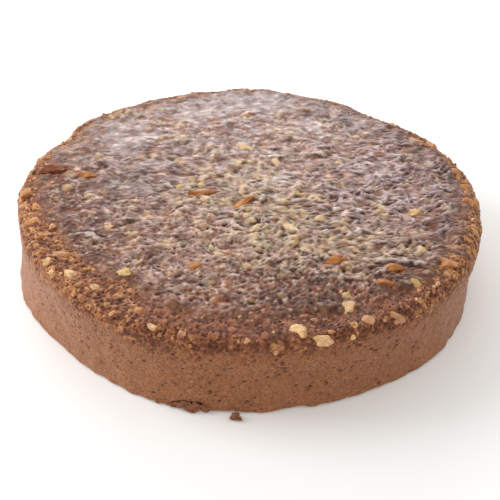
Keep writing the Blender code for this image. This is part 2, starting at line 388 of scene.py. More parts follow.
# Large folds drawn up in the film: across and back as shares of the rim's radius, length,
# direction in degrees and height. More are scattered over the right half.
LARGE_FOLDS = (
    (0.62, -0.455, 0.0250, -3, 0.0020), (0.56, -0.33, 0.0130, 6, 0.0009),
    (0.33, -0.10, 0.0120, -12, 0.0008), (0.55, 0.02, 0.0140, 8, 0.0008),
    (0.78, 0.04, 0.0100, 14, 0.0009), (0.16, 0.14, 0.0140, 16, 0.0008),
    (-0.66, -0.36, 0.0150, 156, 0.0018), (-0.10, 0.02, 0.0120, 28, 0.0007),
    (-0.40, 0.52, 0.0130, -10, 0.0007), (0.27, -0.56, 0.0090, 20, 0.0008),
)
SCATTERED_FOLDS = 70
SCATTERED_FOLD_BOX = (-0.15, 0.88, -0.60, 0.50)
FOLD_SEED = 61
FOLD_LENGTHS = (0.0050, 0.0120)
FOLD_HEIGHTS = (0.0004, 0.0012)
FOLD_TURN = 16
FOLD_ARCH = 0.2

# A fold taller than the full height is bold: wider and less torn. Its painted shadow lies under its
# front.
FOLD_FULL_HEIGHT = 0.0009
FOLD_BOLD_WIDTH = 0.8
FOLD_BOLD_WHOLE = 0.92
FOLD_TOP_STRENGTH = 1.7
FOLD_BACK = 0.0020
FOLD_FRONT = 0.0009
FOLD_CREST = 0.0006
FOLD_SHADE = 1.7 * FOLD_FRONT

# Noise by which the folds wander across and back and are torn, and the limits of the tearing.
FOLD_WANDERS = ((0.0005, 0.0060, 62), (0.0005, 0.0045, 63))
FOLD_TEARS = (0.30, 0.0060, 64)
FOLD_WHOLE = 0.85
FOLD_WHOLE_LIMITS = (0.2, 1.2)

# The film's folds are low at the back left, and grow over this span towards the front right. They
# are calmer where the film is smooth or dull, and uneven all over.
LIVELY_SPAN = (-0.50, 0.45)
LIVELINESS = (0.62, 1.50)
SMOOTH_CALM = 0.85
DULL_CALM = 0.62
UNEVEN_FOLDS = (0.35, 0.0150, 17)
UNEVEN_LIMITS = (0.35, 1.6)
BUBBLES = ((0.75, 0.0028, 20), (0.65, 0.0052, 26))
BUBBLE_HEIGHT = 0.00019
FILM_SWELL = (0.00022, 0.012, 11)

# The folds' seeds, and how their crests show. Those of smaller folds are fainter.
FIRST_FOLD_SEED = 50
FOLD_SEED_STEP = 10
CREST_CRISPNESS = 1.5
CREST_FADE = 0.12
CREST_LEVEL = 0.40
CREST_GAIN = 1.5

# Shares of their height that small nuts keep under the film, and in the pale zone keep besides,
# and that large ones keep, and how far they and the film are smoothed.
SMALL_NUT_RISE = 0.45
PALE_NUT_RISE = 0.55
LARGE_NUT_RISE = 0.75
NUT_BLUR = 0.0005
NUT_BLUR_SHARE = 0.4
FILM_BLUR = 0.0010

# How far the nuts follow the folds and the zones, and from what height over the film they show.
NUT_FOLLOWS = 0.6
PALE_LIFT = 0.00018
DARK_DROP = 0.00030
SMOOTH_DROP = 0.00060
PROUD_RANGE = (-0.00025, 0.00030)
# Hollows, found by blurring the relief, are painted dark as shade.
HOLLOW_BLUR = 0.0012
HOLLOW_RANGE = (0.00002, 0.00040)

# Patches of the top: across, back and radius as shares of the rim's radius, and strength.
PALE_PATCHES = (
    (-0.06, 0.06, 0.20, 1.0), (-0.24, -0.04, 0.12, 0.6), (0.08, -0.35, 0.22, 0.9),
    (0.40, -0.36, 0.22, 0.75), (0.63, -0.42, 0.12, 0.7), (0.16, -0.06, 0.16, 0.7),
    (-0.40, 0.56, 0.14, 0.4), (0.29, 0.62, 0.16, 0.5), (0.10, 0.36, 0.22, 0.3),
)
DARK_PATCHES = (
    (-0.52, 0.10, 0.22, 0.8), (-0.70, -0.28, 0.20, 0.45), (-0.40, -0.62, 0.22, 0.45),
    (0.80, -0.20, 0.16, 0.4), (0.20, -0.74, 0.24, 1.0), (0.62, -0.60, 0.16, 0.8),
    (0.50, 0.72, 0.24, 0.3), (-0.06, 0.52, 0.14, 0.4), (0.62, 0.30, 0.16, 0.2),
    (-0.34, 0.34, 0.18, 0.35),
)
DULL_PATCHES = (
    (0.05, -0.78, 0.42, 1.0), (0.40, -0.66, 0.26, 0.6), (-0.62, -0.45, 0.34, 0.8),
    (-0.86, 0.00, 0.28, 0.8), (0.62, -0.55, 0.30, 0.6), (0.86, 0.00, 0.25, 0.25),
)
RUSTY_PATCHES = (
    (0.45, -0.62, 0.34, 0.8), (0.80, -0.12, 0.15, 0.9), (-0.10, -0.78, 0.30, 0.7),
    (-0.55, -0.62, 0.22, 0.6), (0.62, 0.34, 0.10, 0.5),
)
SMOOTH_PATCHES = (
    (-0.56, 0.46, 0.13, 1.0), (-0.28, 0.70, 0.11, 0.9), (-0.10, 0.80, 0.10, 0.9),
    (0.08, 0.82, 0.12, 1.0), (0.28, 0.60, 0.08, 0.7), (0.14, 0.13, 0.08, 0.6),
    (0.52, 0.22, 0.09, 0.6),
)

# The zones of the top: their patches, and the noise that makes their edges ragged.
ZONES = {
    "pale": (PALE_PATCHES, (0.30, 0.020, 13)),
    "dark": (DARK_PATCHES, (0.22, 0.018, 14)),
    "dull": (DULL_PATCHES, (0.15, 0.020, 16)),
    "smooth": (SMOOTH_PATCHES, (0.16, 0.009, 15)),
    "rusty": (RUSTY_PATCHES, (0.15, 0.012, 25)),
}
SMOOTH_RANGE = (0.25, 0.60)
EDGE_RANGE = (0.68, 0.90)

GLAZE = srgb(110, 64, 52)
GLAZE_RUSTY = srgb(122, 64, 32)
GLAZE_PALE = srgb(220, 188, 174)
GLAZE_LILAC = srgb(208, 188, 194)
GLAZE_CREAM = srgb(222, 202, 170)
GLAZE_PAINTED_GLARE = srgb(200, 182, 180)
GLAZE_SHADE = srgb(44, 16, 12)
FOLD_PALE = srgb(220, 198, 186)
NUT_CREAM = srgb(226, 186, 134)
NUT_YELLOW = srgb(204, 166, 106)
NUT_PINK = srgb(168, 120, 98)
NUT_TAN = srgb(196, 144, 104)
NUT_BROWN = srgb(120, 76, 54)
NUT_AMBER = srgb(182, 116, 58)
NUT_DARK = srgb(130, 72, 42)
NUT_GOLD = srgb(192, 134, 86)

# Colours of the nuts under the film, and how often each comes up, plainly and in the pale zone.
FILM_NUTS = np.stack([NUT_BROWN, NUT_PINK, NUT_TAN, NUT_YELLOW, NUT_CREAM, NUT_AMBER])
PLAIN_ODDS = (0.36, 0.28, 0.20, 0.07, 0.05, 0.04)
PALE_ODDS = (0.06, 0.16, 0.16, 0.30, 0.28, 0.04)
NUT_SEED = 21
NUT_UNEVENNESS = 0.2

# Thin film: its noise as spacing, seed and stretch, what the pale zone adds to it, what the dark
# zone and the edge take from it, and its range.
THIN_NOISE = (0.0062, 18, 1.6)
THIN_PALE, THIN_DARK, THIN_EDGE = 1.3, 0.9, 0.6
THIN_RANGE = (0.1, 1.3)

# How strongly crests, thin film and the dull zone's bubbles are paler, less so at the edge.
# Crests are pale partly from thin sugar and partly as a painted highlight; the bubbles' pale specks are
# painted glints.
CREST_PALENESS = 0.75
THIN_PALENESS = 0.70
SPECK_PALENESS = 0.85
SPECK_RANGE = (1.1, 2.0)
EDGE_CALM = 0.35

# The pale film is creamier in the pale zone and lilac at the right, over these spans.
CREAM_ZONE = 0.9
CREAM_NOISE = (0.2, 0.011, 19)
LILAC_ACROSS = (-0.1, 0.6)
LILAC_BACK = (-0.5, 0.0)
LILAC_SHARE = 0.8

# Brightness of the film: how much the zones darken it, and its mottling.
DARK_SHADE = 0.35
EDGE_SHADE = 0.15
MOTTLES = ((0.12, 0.0075, 23), (0.07, 0.0160, 27))
DULL_MOTTLE = (0.0036, 24)
DULL_MOTTLING = 0.12

# How far nuts show through, and the shares of painted glare on the smooth film, of pale crests, partly a
# painted highlight, and of painted shade in hollows and under folds.
NUTS_SHOWN, NUTS_PALE, NUTS_DARK = 0.45, 0.18, 0.25
PAINTED_GLARE_SHARE = 0.42
FOLD_PALE_SHARE = 0.80
HOLLOW_SHARES = (0.7, 0.95)
FOLD_SHADOW_SHARE = 0.85

# Gloss of the film, and what nuts, the dull zone, shadows and the smooth zone take from it.
GLOSS = 0.62
GLOSS_NUTS, GLOSS_DULL, GLOSS_SHADOW, GLOSS_SMOOTH = 0.35, 0.80, 0.9, 0.06


def patch_field(x, y, patches):
    """Sum of soft round patches at places on the top."""
    total = np.zeros_like(x)
    for across, back, radius, strength in patches:
        away = np.hypot(x / RIM_RADIUS - across, y / RIM_RADIUS - back)
        total += strength * np.exp(-((away / radius) ** 2))
    return total


def large_folds(x, y):
    """Height of the large folds, which lean to the front, their crests and the painted shadow under them.
    """
    random = Random(FOLD_SEED)
    folds = list(LARGE_FOLDS)
    left, right, front, back = SCATTERED_FOLD_BOX
    for _ in range(SCATTERED_FOLDS):
        place = (random.uniform(left, right), random.uniform(front, back))
        sizes = (random.uniform(*FOLD_LENGTHS), random.gauss(0, FOLD_TURN), random.uniform(*FOLD_HEIGHTS))
        folds.append((*place, *sizes))
    height = np.zeros_like(x)
    crest = np.zeros_like(x)
    under = np.zeros_like(x)
    x = x + noise_sum(x.shape, FOLD_WANDERS[0])
    y = y + noise_sum(x.shape, FOLD_WANDERS[1])
    torn = np.clip(FOLD_WHOLE + noise_sum(x.shape, FOLD_TEARS), *FOLD_WHOLE_LIMITS)
    for across, back, length, turn, tall in folds:
        away = x - across * RIM_RADIUS, y - back * RIM_RADIUS
        along = (away[0] * cos(radians(turn)) + away[1] * sin(radians(turn))) / (length / 2)
        arch = random.uniform(-FOLD_ARCH, FOLD_ARCH) * length * along**2
        aside = away[1] * cos(radians(turn)) - away[0] * sin(radians(turn)) + arch
        bold = np.clip(tall / FOLD_FULL_HEIGHT - 1, 0, 1)
        taper = mix(torn, 1.0, FOLD_BOLD_WHOLE * bold) * np.sqrt(np.clip(1 - along**2, 0, 1))
        aside = aside / (1 + FOLD_BOLD_WIDTH * bold)
        ridge = taper * np.exp(-np.where(aside > 0, aside / FOLD_BACK, -aside / FOLD_FRONT))
        height = np.maximum(height, tall * ridge)
        strength = min(tall / FOLD_FULL_HEIGHT, FOLD_TOP_STRENGTH)
        crest = np.maximum(crest, strength * taper * np.exp(-((aside / FOLD_CREST) ** 2)))
        shade = np.exp(-(((aside + FOLD_SHADE) / FOLD_FRONT) ** 2))
        under = np.maximum(under, strength * taper * shade)
    return height, np.clip(crest, 0, 1), np.clip(under, 0, 1)


def top_zones(x, y):
    """How pale, dark, dull, smooth, rusty and near the edge the top is at each place."""
    zones = {}
    for name, (patches, ragged) in ZONES.items():
        zones[name] = np.clip(patch_field(x, y, patches) + noise_sum(x.shape, ragged), 0, 1)
    zones["smooth"] = smooth(*SMOOTH_RANGE, zones["smooth"])
    zones["edge"] = smooth(*EDGE_RANGE, np.hypot(x, y) / RIM_RADIUS)
    return SimpleNamespace(**zones)


def film_folds(lively, zones, bubbles):
    """Relief of the film's wrinkles, and how strongly their crests show."""
    shape = lively.shape
    calm = (1 - SMOOTH_CALM * zones.smooth) * (1 - DULL_CALM * zones.dull)
    rough = lively * calm * np.clip(1 + noise_sum(shape, UNEVEN_FOLDS), *UNEVEN_LIMITS)
    relief = noise_sum(shape, FILM_SWELL) + BUBBLE_HEIGHT * zones.dull * bubbles
    crest = np.zeros(shape)
    for number, (spacing, tall) in enumerate(FOLDS):
        fold = wrinkles(shape, spacing, FIRST_FOLD_SEED + FOLD_SEED_STEP * number)
        relief += rough * tall * (fold - fold.mean())
        crest = np.maximum(crest, fold**CREST_CRISPNESS * (1 - CREST_FADE * number))
    return relief, rough * np.clip(CREST_GAIN * (crest - CREST_LEVEL), 0, 1)


def film_nut_colour(owner, count, pale):
    """Colour of the nut at each place of the top, more often a pale one in the pale zone."""
    random = np.random.default_rng(NUT_SEED)
    plain_kind = random.choice(len(FILM_NUTS), count, p=PLAIN_ODDS)
    pale_kind = random.choice(len(FILM_NUTS), count, p=PALE_ODDS)
    brightness = random.normal(1.0, NUT_UNEVENNESS, count)[owner][..., None]
    kind = np.where(random.random(count)[owner] < pale, pale_kind[owner], plain_kind[owner])
    return FILM_NUTS[kind] * brightness


def film_colour(x, y, zones, crest, bubbles):
    """Colour of the film itself, paler where it is thin and, partly as a painted highlight, on the crests
    of its folds, with painted glints on the dull zone's bubbles.
    """
    shape = x.shape
    wider = THIN_PALE * zones.pale - THIN_DARK * zones.dark - THIN_EDGE * zones.edge
    thin = smooth(*THIN_RANGE, band_noise(shape, *THIN_NOISE) + wider)
    paleness = np.maximum(CREST_PALENESS * crest, THIN_PALENESS * thin) * (1 - EDGE_CALM * zones.edge)
    paleness = np.maximum(paleness, SPECK_PALENESS * zones.dull * smooth(*SPECK_RANGE, bubbles))
    creamy = np.clip(CREAM_ZONE * zones.pale + noise_sum(shape, CREAM_NOISE), 0, 1)
    pale = mix(GLAZE_PALE, GLAZE_CREAM, creamy[..., None])
    lilac = smooth(*LILAC_ACROSS, x / RIM_RADIUS) * smooth(*LILAC_BACK, y / RIM_RADIUS) * (1 - zones.pale)
    pale = mix(pale, GLAZE_LILAC, LILAC_SHARE * lilac[..., None])
    colour = mix(GLAZE, GLAZE_RUSTY, zones.rusty[..., None])
    colour = mix(colour, pale, np.clip(paleness, 0, 1)[..., None])
    mottled = noise_sum(shape, *MOTTLES)
    mottled += DULL_MOTTLING * zones.dull * band_noise(shape, *DULL_MOTTLE)
    return colour * (1 - DARK_SHADE * zones.dark - EDGE_SHADE * zones.edge + mottled)[..., None]


def top_maps():
    """Height, colour and gloss of the glazed, nutty top."""
    size = 2 * round(TOP_MAP_REACH / MAP_PIXEL)
    shape = (size, size)
    axis = (np.arange(size) - size / 2) * MAP_PIXEL
    x, y = np.meshgrid(axis, axis)
    zones = top_zones(x, y)

    walnuts = walnut_lumps()
    lumps = walnuts + scattered_lumps((0, size), (0, size), *SMALL_NUTS)
    height, owner = raise_lumps(shape, lumps)
    kept = np.where(owner < len(walnuts), LARGE_NUT_RISE, SMALL_NUT_RISE + PALE_NUT_RISE * zones.pale)
    nuts = np.maximum(height, 0.0) * kept
    nuts = mix(nuts, blurred(nuts, NUT_BLUR), NUT_BLUR_SHARE)

    lively = mix(*LIVELINESS, smooth(*LIVELY_SPAN, (0.5 * x - y) / RIM_RADIUS))
    bubbles = noise_sum(shape, *BUBBLES)
    folds, crest = film_folds(lively, zones, bubbles)
    drawn_up, drawn_crest, drawn_shadow = large_folds(x, y)
    film = blurred(nuts, FILM_BLUR) + folds + drawn_up
    nut_level = nuts + NUT_FOLLOWS * folds + PALE_LIFT * zones.pale
    nut_level = nut_level - DARK_DROP * zones.dark - SMOOTH_DROP * zones.smooth
    proud = smooth(*PROUD_RANGE, nut_level - film)
    relief = np.maximum(film, nut_level)
    hollow_shade = smooth(*HOLLOW_RANGE, blurred(relief, HOLLOW_BLUR) - relief)

    shown = proud * (NUTS_SHOWN + NUTS_PALE * zones.pale - NUTS_DARK * zones.dark)
    nut = film_nut_colour(owner, len(lumps), zones.pale)
    colour = mix(film_colour(x, y, zones, crest, bubbles), nut, shown[..., None])
    # The smooth patches are painted whitish, a painted reflection of the bright light behind.
    colour = mix(colour, GLAZE_PAINTED_GLARE, (PAINTED_GLARE_SHARE * zones.smooth * (1 - zones.dark))[..., None])
    # The large folds' crests are painted pale, partly as a highlight.
    colour = mix(colour, FOLD_PALE, (FOLD_PALE_SHARE * drawn_crest)[..., None])
    # Painted shade darkens the hollows of the relief, and a painted shadow lies under each large fold.
    shadow = np.maximum(hollow_shade * mix(*HOLLOW_SHARES, lively - 0.5), FOLD_SHADOW_SHARE * drawn_shadow)
    shadow = np.clip(shadow, 0, 1)
    colour = mix(colour, GLAZE_SHADE, shadow[..., None])
    gloss = (1 - GLOSS_NUTS * proud) * (1 - GLOSS_DULL * zones.dull) * (1 - GLOSS_SHADOW * shadow)
    gloss = gloss * (GLOSS - GLOSS_SMOOTH * zones.smooth)
    return relief - relief.mean(), np.clip(colour, 0, 1), gloss


# ---- The side and the crumbly rim as maps: rows run up the section, columns run round ----

# Lumps of the crumbly band, given like SMALL_NUTS, and how far below the rim they start.
LARGE_CRUMBS = (520, (0.0036, 0.0080), 1.5, (0.22, 0.42), 0.8, 7)
SMALL_CRUMBS = (15000, (0.0009, 0.0040), 1.7, (0.25, 0.65), 0.9, 6)
CRUMBS_BELOW = 0.012

# How the lumps are lowered and softened. Holes between them: range, spacing and seed.
CRUMB_RISE = 0.75
CRUMB_BLUR = 0.0004
CRUMB_BLUR_SHARE = 0.6
CRUMB_HOLES = ((0.9, 1.9, 0.0030, 37), (1.1, 2.0, 0.0016, 38))
CRUMB_HOLE_DEPTH = 0.0011
CRUMBS_SUNK = 0.00035

# The wall's pits. They are shallower where less painted shade lies on the wall.
PIT_COUNT = 10000
PIT_SIZES = (0.0006, 0.0020)
PIT_SMALL_BIAS = 3.2
PIT_DEPTH = 1.1
PIT_ROOM = 1.5
PIT_EDGE = 1.25
PIT_FLATNESS = (0.55, 1.0)
PIT_SEED = 41
PIT_DEPTHS = (0.4, 1.0)
# Pits are painted dark as shade, fully from this depth, by this share.
PIT_FULL_DARK = 0.0005
PIT_DARK_SHARE = 0.75

# The wall's relief: broad swells, and fine bumps that grow from this height up.
WALL_SWELL = (0.00014, 0.014, 33)
WALL_BUMPS = (0.00005, 0.00014)
WALL_BUMP_NOISE = (0.0021, 34)
WALL_BUMP_START = 0.010

# Noise that makes the crumbly band's lower edge ragged, and how softly it fades there.
CRUMB_EDGE_NOISE = ((0.0014, 0.011, 31), (0.0010, 0.004, 32))
CRUMB_FADE = (-0.0050, 0.0030)

# Where film runs low down on the band and over its shoulder: spans along the section.
LOW_FILM_SPAN = (WALL_END + 0.003, WALL_END - 0.004)
SHOULDER_SPAN = (WALL_END + 0.002, RIM_END)
LOW_FILM_CALM = 0.35

# Height of the crumbly band's lower edge round the cake, by angle.
CRUMB_EDGES = (
    (-170, 0.034), (-150, 0.036), (-137, 0.040), (-124, 0.036), (-113, 0.030), (-100, 0.033),
    (-91, 0.036), (-78, 0.0355), (-66, 0.037), (-53, 0.035), (-39, 0.035), (-28, 0.037),
    (0, 0.036), (90, 0.035),
)

# How rough the crumbly band is round the cake, by angle.
CRUMB_STRENGTHS = (
    (-170, 1.2), (-128, 0.95), (-108, 0.65), (-92, 0.42), (-62, 0.42), (-34, 0.85), (0, 1.15),
    (60, 0.6), (120, 0.6), (150, 1.0),
)

# How much painted shade lies on the wall round the cake, by angle; below 0 it is painted lighter.
WALL_PAINTED_SHADE = (
    (-155, 0.0), (-121, 0.5), (-99, 0.95), (-55, 1.1), (-30, 0.5), (0, -0.2), (60, 0.5),
    (150, 0.3),
)

# Share of golden lumps in the crumbly band, and how much thin film runs over it, by angle.
GOLDEN_SHARES = (
    (-178, 0.6), (-160, 0.5), (-123, 0.46), (-105, 0.16), (-60, 0.18), (-30, 0.6), (0, 0.95),
    (60, 0.3), (120, 0.3),
)
FILM_TRACES = (
    (-170, 0.0), (-134, 0.0), (-121, 0.35), (-108, 0.3), (-92, 0.6), (-62, 0.8), (-44, 0.4),
    (-22, 0.1), (0, 0.35), (40, 0.5), (130, 0.6), (160, 0.1),
)

WALL = srgb(157, 104, 70)
WALL_PALE = srgb(174, 120, 86)
WALL_DARK = srgb(120, 70, 44)
WALL_SHADE_TINT = np.array((0.86, 0.79, 0.69))
PORE_SHADE = srgb(78, 38, 24)
WALL_NUT = srgb(206, 158, 120)
RIM_BROWN = srgb(162, 100, 64)
RIM_GOLD = srgb(202, 142, 90)
RIM_SHADE = srgb(76, 29, 15)
RIM_RED = srgb(158, 92, 54)
RIM_MAUVE = srgb(140, 90, 64)
RIM_SPECK = srgb(206, 164, 138)

# Crumbs: differences in brightness, shares of film low down and over the shoulder, and the painted shade
# in the hollows between them.
CRUMB_SEED = 22
CRUMB_UNEVENNESS = 0.14
RED_SHARE = 0.6
SHOULDER_SHARE = 0.75
SPECKLED_SHARE = 0.16
CRUMB_HOLLOW_RANGE = (0.00042, -0.00020)
CRUMB_HOLLOW_SHARE = 0.9
FILM_HOLLOW_CALM = 0.45

# The wall's colours: noise as spacing and seed, and how far each layer makes it pale or dark.
WALL_PATCHES = (0.020, 35)
WALL_GRAIN = (0.0013, 36)
WALL_PALENESS, PATCH_PALENESS, GRAIN_PALENESS = 0.3, 0.15, 0.36
GRAIN_DARKNESS, BUMP_DARKNESS, DARK_LEVEL = 0.36, 0.40, 0.2
WALL_MOTTLE = (0.055, 0.0042, 39)
WALL_NUT_NOISE = (0.0032, 40)
WALL_NUT_RANGE = (2.3, 2.8)
WALL_NUT_SHARE = 0.6


def side_shape():
    """Rows and columns of the side's maps."""
    return round((RIM_END + SIDE_MAP_INWARDS) / MAP_PIXEL), round(tau * RIM_RADIUS / MAP_PIXEL)


def side_place(angle, along):
    """Rows and columns of the side's maps for angles and lengths along the section."""
    rows, columns = side_shape()
    return np.clip(along / MAP_PIXEL, 0, rows - 2), (angle % tau) / tau * columns


def around(angle, table):
    """Value at one angle or at each of many, from a table of places in degrees and values."""
    places = np.array([radians(place) for place, _ in table])
    values = np.array([value for _, value in table])
    wrapped = (angle - places[0]) % tau + places[0]
    return np.interp(wrapped, np.append(places, places[0] + tau), np.append(values, values[0]))


def crumb_maps(shape, along, angle):
    """Height and colour of the crumbly band, as if it went on down the wall."""
    rows = ((WALL_END - CRUMBS_BELOW) / MAP_PIXEL, shape[0])
    columns = (0, shape[1])
    lumps = scattered_lumps(rows, columns, *LARGE_CRUMBS) + scattered_lumps(rows, columns, *SMALL_CRUMBS)
    height, owner = raise_lumps(shape, lumps)
    relief = CRUMB_RISE * np.maximum(height, 0.0)
    relief = mix(relief, blurred(relief, CRUMB_BLUR), CRUMB_BLUR_SHARE)
    holes = sum(smooth(low, high, band_noise(shape, *layer)) for low, high, *layer in CRUMB_HOLES)
    low_film = smooth(*LOW_FILM_SPAN, along) * around(angle, FILM_TRACES)
    shoulder = smooth(*SHOULDER_SPAN, along) * around(angle, FILM_TRACES)
    relief = (relief - CRUMB_HOLE_DEPTH * holes) * around(angle, CRUMB_STRENGTHS)
    relief = relief * (1 - LOW_FILM_CALM * low_film)

    random = np.random.default_rng(CRUMB_SEED)
    brightness = random.normal(1.0, CRUMB_UNEVENNESS, len(lumps))[owner][..., None]
    golden = random.random(len(lumps))[owner] < around(angle, GOLDEN_SHARES)
    speckled = random.random(len(lumps))[owner] < SPECKLED_SHARE * shoulder
    colour = np.where(golden[..., None], RIM_GOLD, RIM_BROWN)
    colour = mix(colour, RIM_RED, RED_SHARE * low_film[..., None])
    film = np.where(speckled[..., None], RIM_SPECK, RIM_MAUVE)
    colour = mix(colour, film, SHOULDER_SHARE * shoulder[..., None]) * brightness
    # Hollows between the crumbs are painted dark as shade.
    hollow_shade = smooth(*CRUMB_HOLLOW_RANGE, relief) * (CRUMB_HOLLOW_SHARE - FILM_HOLLOW_CALM * low_film)
    return relief, mix(colour, RIM_SHADE, hollow_shade[..., None])


def wall_maps(shape, along, angle):
    """Height and colour of the wall, and how deep its pits are."""
    up_wall = smooth(WALL_BUMP_START, WALL_END, along)
    bumps = band_noise(shape, *WALL_BUMP_NOISE)
    relief = noise_sum(shape, WALL_SWELL) + mix(*WALL_BUMPS, up_wall) * bumps
    # The wall is painted darker round the cake by angle, as shade from the light, and lighter where the
    # table is below 0.
    painted_shade = around(angle, WALL_PAINTED_SHADE)
    pits = pit_map(shape) * mix(*PIT_DEPTHS, np.clip(painted_shade, 0, 1))

    patches = band_noise(shape, *WALL_PATCHES)
    grain = band_noise(shape, *WALL_GRAIN)
    pale = WALL_PALENESS + PATCH_PALENESS * patches + GRAIN_PALENESS * grain
    # The dips of the wall's bumps are painted darker, as shade; the grain is the wall's own colour.
    dark = -GRAIN_DARKNESS * grain - BUMP_DARKNESS * bumps * up_wall - DARK_LEVEL
    colour = mix(WALL, WALL_PALE, np.clip(pale, 0, 1)[..., None])
    colour = mix(colour, WALL_DARK, np.clip(dark, 0, 1)[..., None])
    colour = colour * (1 + noise_sum(shape, WALL_MOTTLE)[..., None])
    bits = smooth(*WALL_NUT_RANGE, band_noise(shape, *WALL_NUT_NOISE))
    colour = mix(colour, WALL_NUT, WALL_NUT_SHARE * bits[..., None])
    return relief, colour * mix(1.0, WALL_SHADE_TINT, painted_shade[..., None]), pits


def side_maps():
    """Height and colour of the wall and the rim."""
    shape = side_shape()
    along = (np.arange(shape[0]) * MAP_PIXEL)[:, None]
    angle = (np.arange(shape[1]) / shape[1] * tau)[None, :]
    edge = FOOT_ARC - FOOT_ROUNDING + around(angle, CRUMB_EDGES)
    crumbly = smooth(*CRUMB_FADE, along - edge + noise_sum(shape, *CRUMB_EDGE_NOISE))
    crumb_relief, crumb_colour = crumb_maps(shape, along, angle)
    wall_relief, wall_colour, pits = wall_maps(shape, along, angle)
    relief = mix(wall_relief, crumb_relief - CRUMBS_SUNK, crumbly) - pits
    colour = mix(wall_colour, crumb_colour, crumbly[..., None])
    # The pits' insides are painted dark, as shade.
    pit_shade = np.clip(pits / PIT_FULL_DARK, 0, 1) * PIT_DARK_SHARE
    return relief, np.clip(mix(colour, PORE_SHADE, pit_shade[..., None]), 0, 1)


def pit_map(shape):
    """Small round holes in the wall, more and larger ones towards the rim."""
    random = Random(PIT_SEED)
    pits = np.zeros(shape)
    for _ in range(PIT_COUNT):
        row = shape[0] * sqrt(random.random())
        size = mix(*PIT_SIZES, random.random() ** PIT_SMALL_BIAS) / 2 / MAP_PIXEL
        column = random.uniform(0, shape[1])
        rows, columns = window(row, column, int(size * PIT_ROOM) + 2)
        flat = random.uniform(*PIT_FLATNESS)
        away = np.hypot((rows - row)[:, None] / size / flat, (columns - column)[None, :] / size)
        depth = size * MAP_PIXEL * PIT_DEPTH * np.clip(PIT_EDGE - away, 0, 1)
        place = np.ix_(np.clip(rows, 0, shape[0] - 1), columns % shape[1])
        pits[place] = np.maximum(pits[place], depth)
    return pits


# ---- The three large pieces: the wall with the base, the crumbly rim and the glaze ----

# The wall ends and the rim starts at this length along the section. Each dips under the other.
SEAM = FOOT_ARC + 0.026 - FOOT_ROUNDING
SEAM_OVERLAP = 0.0015
SEAM_DIP = 0.35

# Outer reach of the glaze round the cake, by angle, as a share of the rim's radius.
GLAZE_EDGES = (
    (-174, 0.920), (-160, 0.865), (-143, 0.845), (-125, 0.825), (-114, 0.838), (-104, 0.850),
    (-91, 0.850), (-76, 0.865), (-62, 0.895), (-48, 0.900), (-38, 0.920), (-27, 0.910),
    (-14, 0.935), (8, 0.960), (24, 0.955), (90, 0.965), (150, 0.955),
)
GLAZE_RAGGED = ((0.0030, 0.011), (0.0022, 0.004))
GLAZE_FADE = 0.0045
GLAZE_PROUD = 0.0004
GLAZE_SUNK = 0.0016
GLAZE_MARGIN = 0.007
THIN_MAUVE = 0.30
THIN_GLOSS = 0.7
FLAT_HEIGHT = 0.030

# How deep the rim lies under the film beside it, and further in, where the film covers it.
RIM_SUNK = 0.0003
RIM_UNDER_SUNK = 0.0012
RIM_UNDER_SPAN = (-0.001, -1.6 * GLAZE_FADE)

# The foot: over these lengths from it the relief fades in, and its own unevenness fades out.
FOOT_CALM = 0.0015
FOOT_EDGE = 0.006
FOOT_BUMP = (0.0009, 0.006)

# The broken place at the foot: half its length, its depth and half its height, the height of its
# middle, and how uneven it is.
GAP_ANGLE = radians(-101)
GAP_HALF_SIZE = (0.0100, 0.0038, 0.0031)
GAP_HEIGHT = 0.0022
GAP_BUMP = (0.25, 0.002)

# The glaze is flattened to a disc with its skirt round it. Rings are flattened to strips: start and
# length across, then start, step and width upwards. Flat faces are discs: start, step and radius.
UV_DISC_RADIUS = 0.49
UV_SKIRT_GROWTH = 1.01
UV_STRIP_ACROSS = (0.01, 0.98)
UV_STRIP_UP = (0.21, 0.195, 0.185)
UV_FLAT_DISCS = (0.1, 0.2, 0.09)
UV_RIM_SHARE = 0.9


def put_in(name, data):
    """An object with this data, linked into the scene."""
    made = bpy.data.objects.new(name, data)
    bpy.context.scene.collection.objects.link(made)
    return made


def add_mesh(name, points, faces, tint, gloss, flat_faces=0):
    """A piece from points and faces, with its colours and gloss. The last faces may stay flat."""
    mesh = bpy.data.meshes.new(name)
    mesh.from_pydata(points.tolist(), [], faces)
    colours = np.ones((len(points), 4), np.float32)
    colours[:, :3] = tint
    layer = mesh.color_attributes.new("tint", "FLOAT_COLOR", "POINT")
    layer.data.foreach_set("color", colours.ravel())
    shine = mesh.attributes.new("gloss", "FLOAT", "POINT")
    shine.data.foreach_set("value", np.asarray(gloss, np.float32))
    rounded = np.arange(len(faces)) < len(faces) - flat_faces
    mesh.polygons.foreach_set("use_smooth", rounded)
    return put_in(name, mesh)


def ring_strip(lower, upper):
    """Quads between two rings of point numbers, facing out where upper is above lower."""
    after_lower = np.roll(lower, -1)
    after_upper = np.roll(upper, -1)
    return np.stack([lower, after_lower, after_upper, upper], axis=1).tolist()


def drop_ring(points, colour, ring, height):
    """Points and colours with a copy of a ring straight below it, and the copy's point numbers."""
    below = points[ring]
    below[:, 2] = height
    numbers = len(points) + np.arange(len(ring))
    return np.concatenate([points, below]), np.concatenate([colour, colour[ring]]), numbers


def glaze_edge(angle, place):
    """How far out the glaze runs, with a ragged edge."""
    ragged = sum(strength * noise_at(place, spacing) for strength, spacing in GLAZE_RAGGED)
    return around(angle, GLAZE_EDGES) * RIM_RADIUS + ragged


def unrolled(angle, from_middle):
    """Flat places of points by angle and length from the middle over the surface."""
    return np.stack([from_middle * np.cos(angle), from_middle * np.sin(angle), 0 * angle], axis=1)


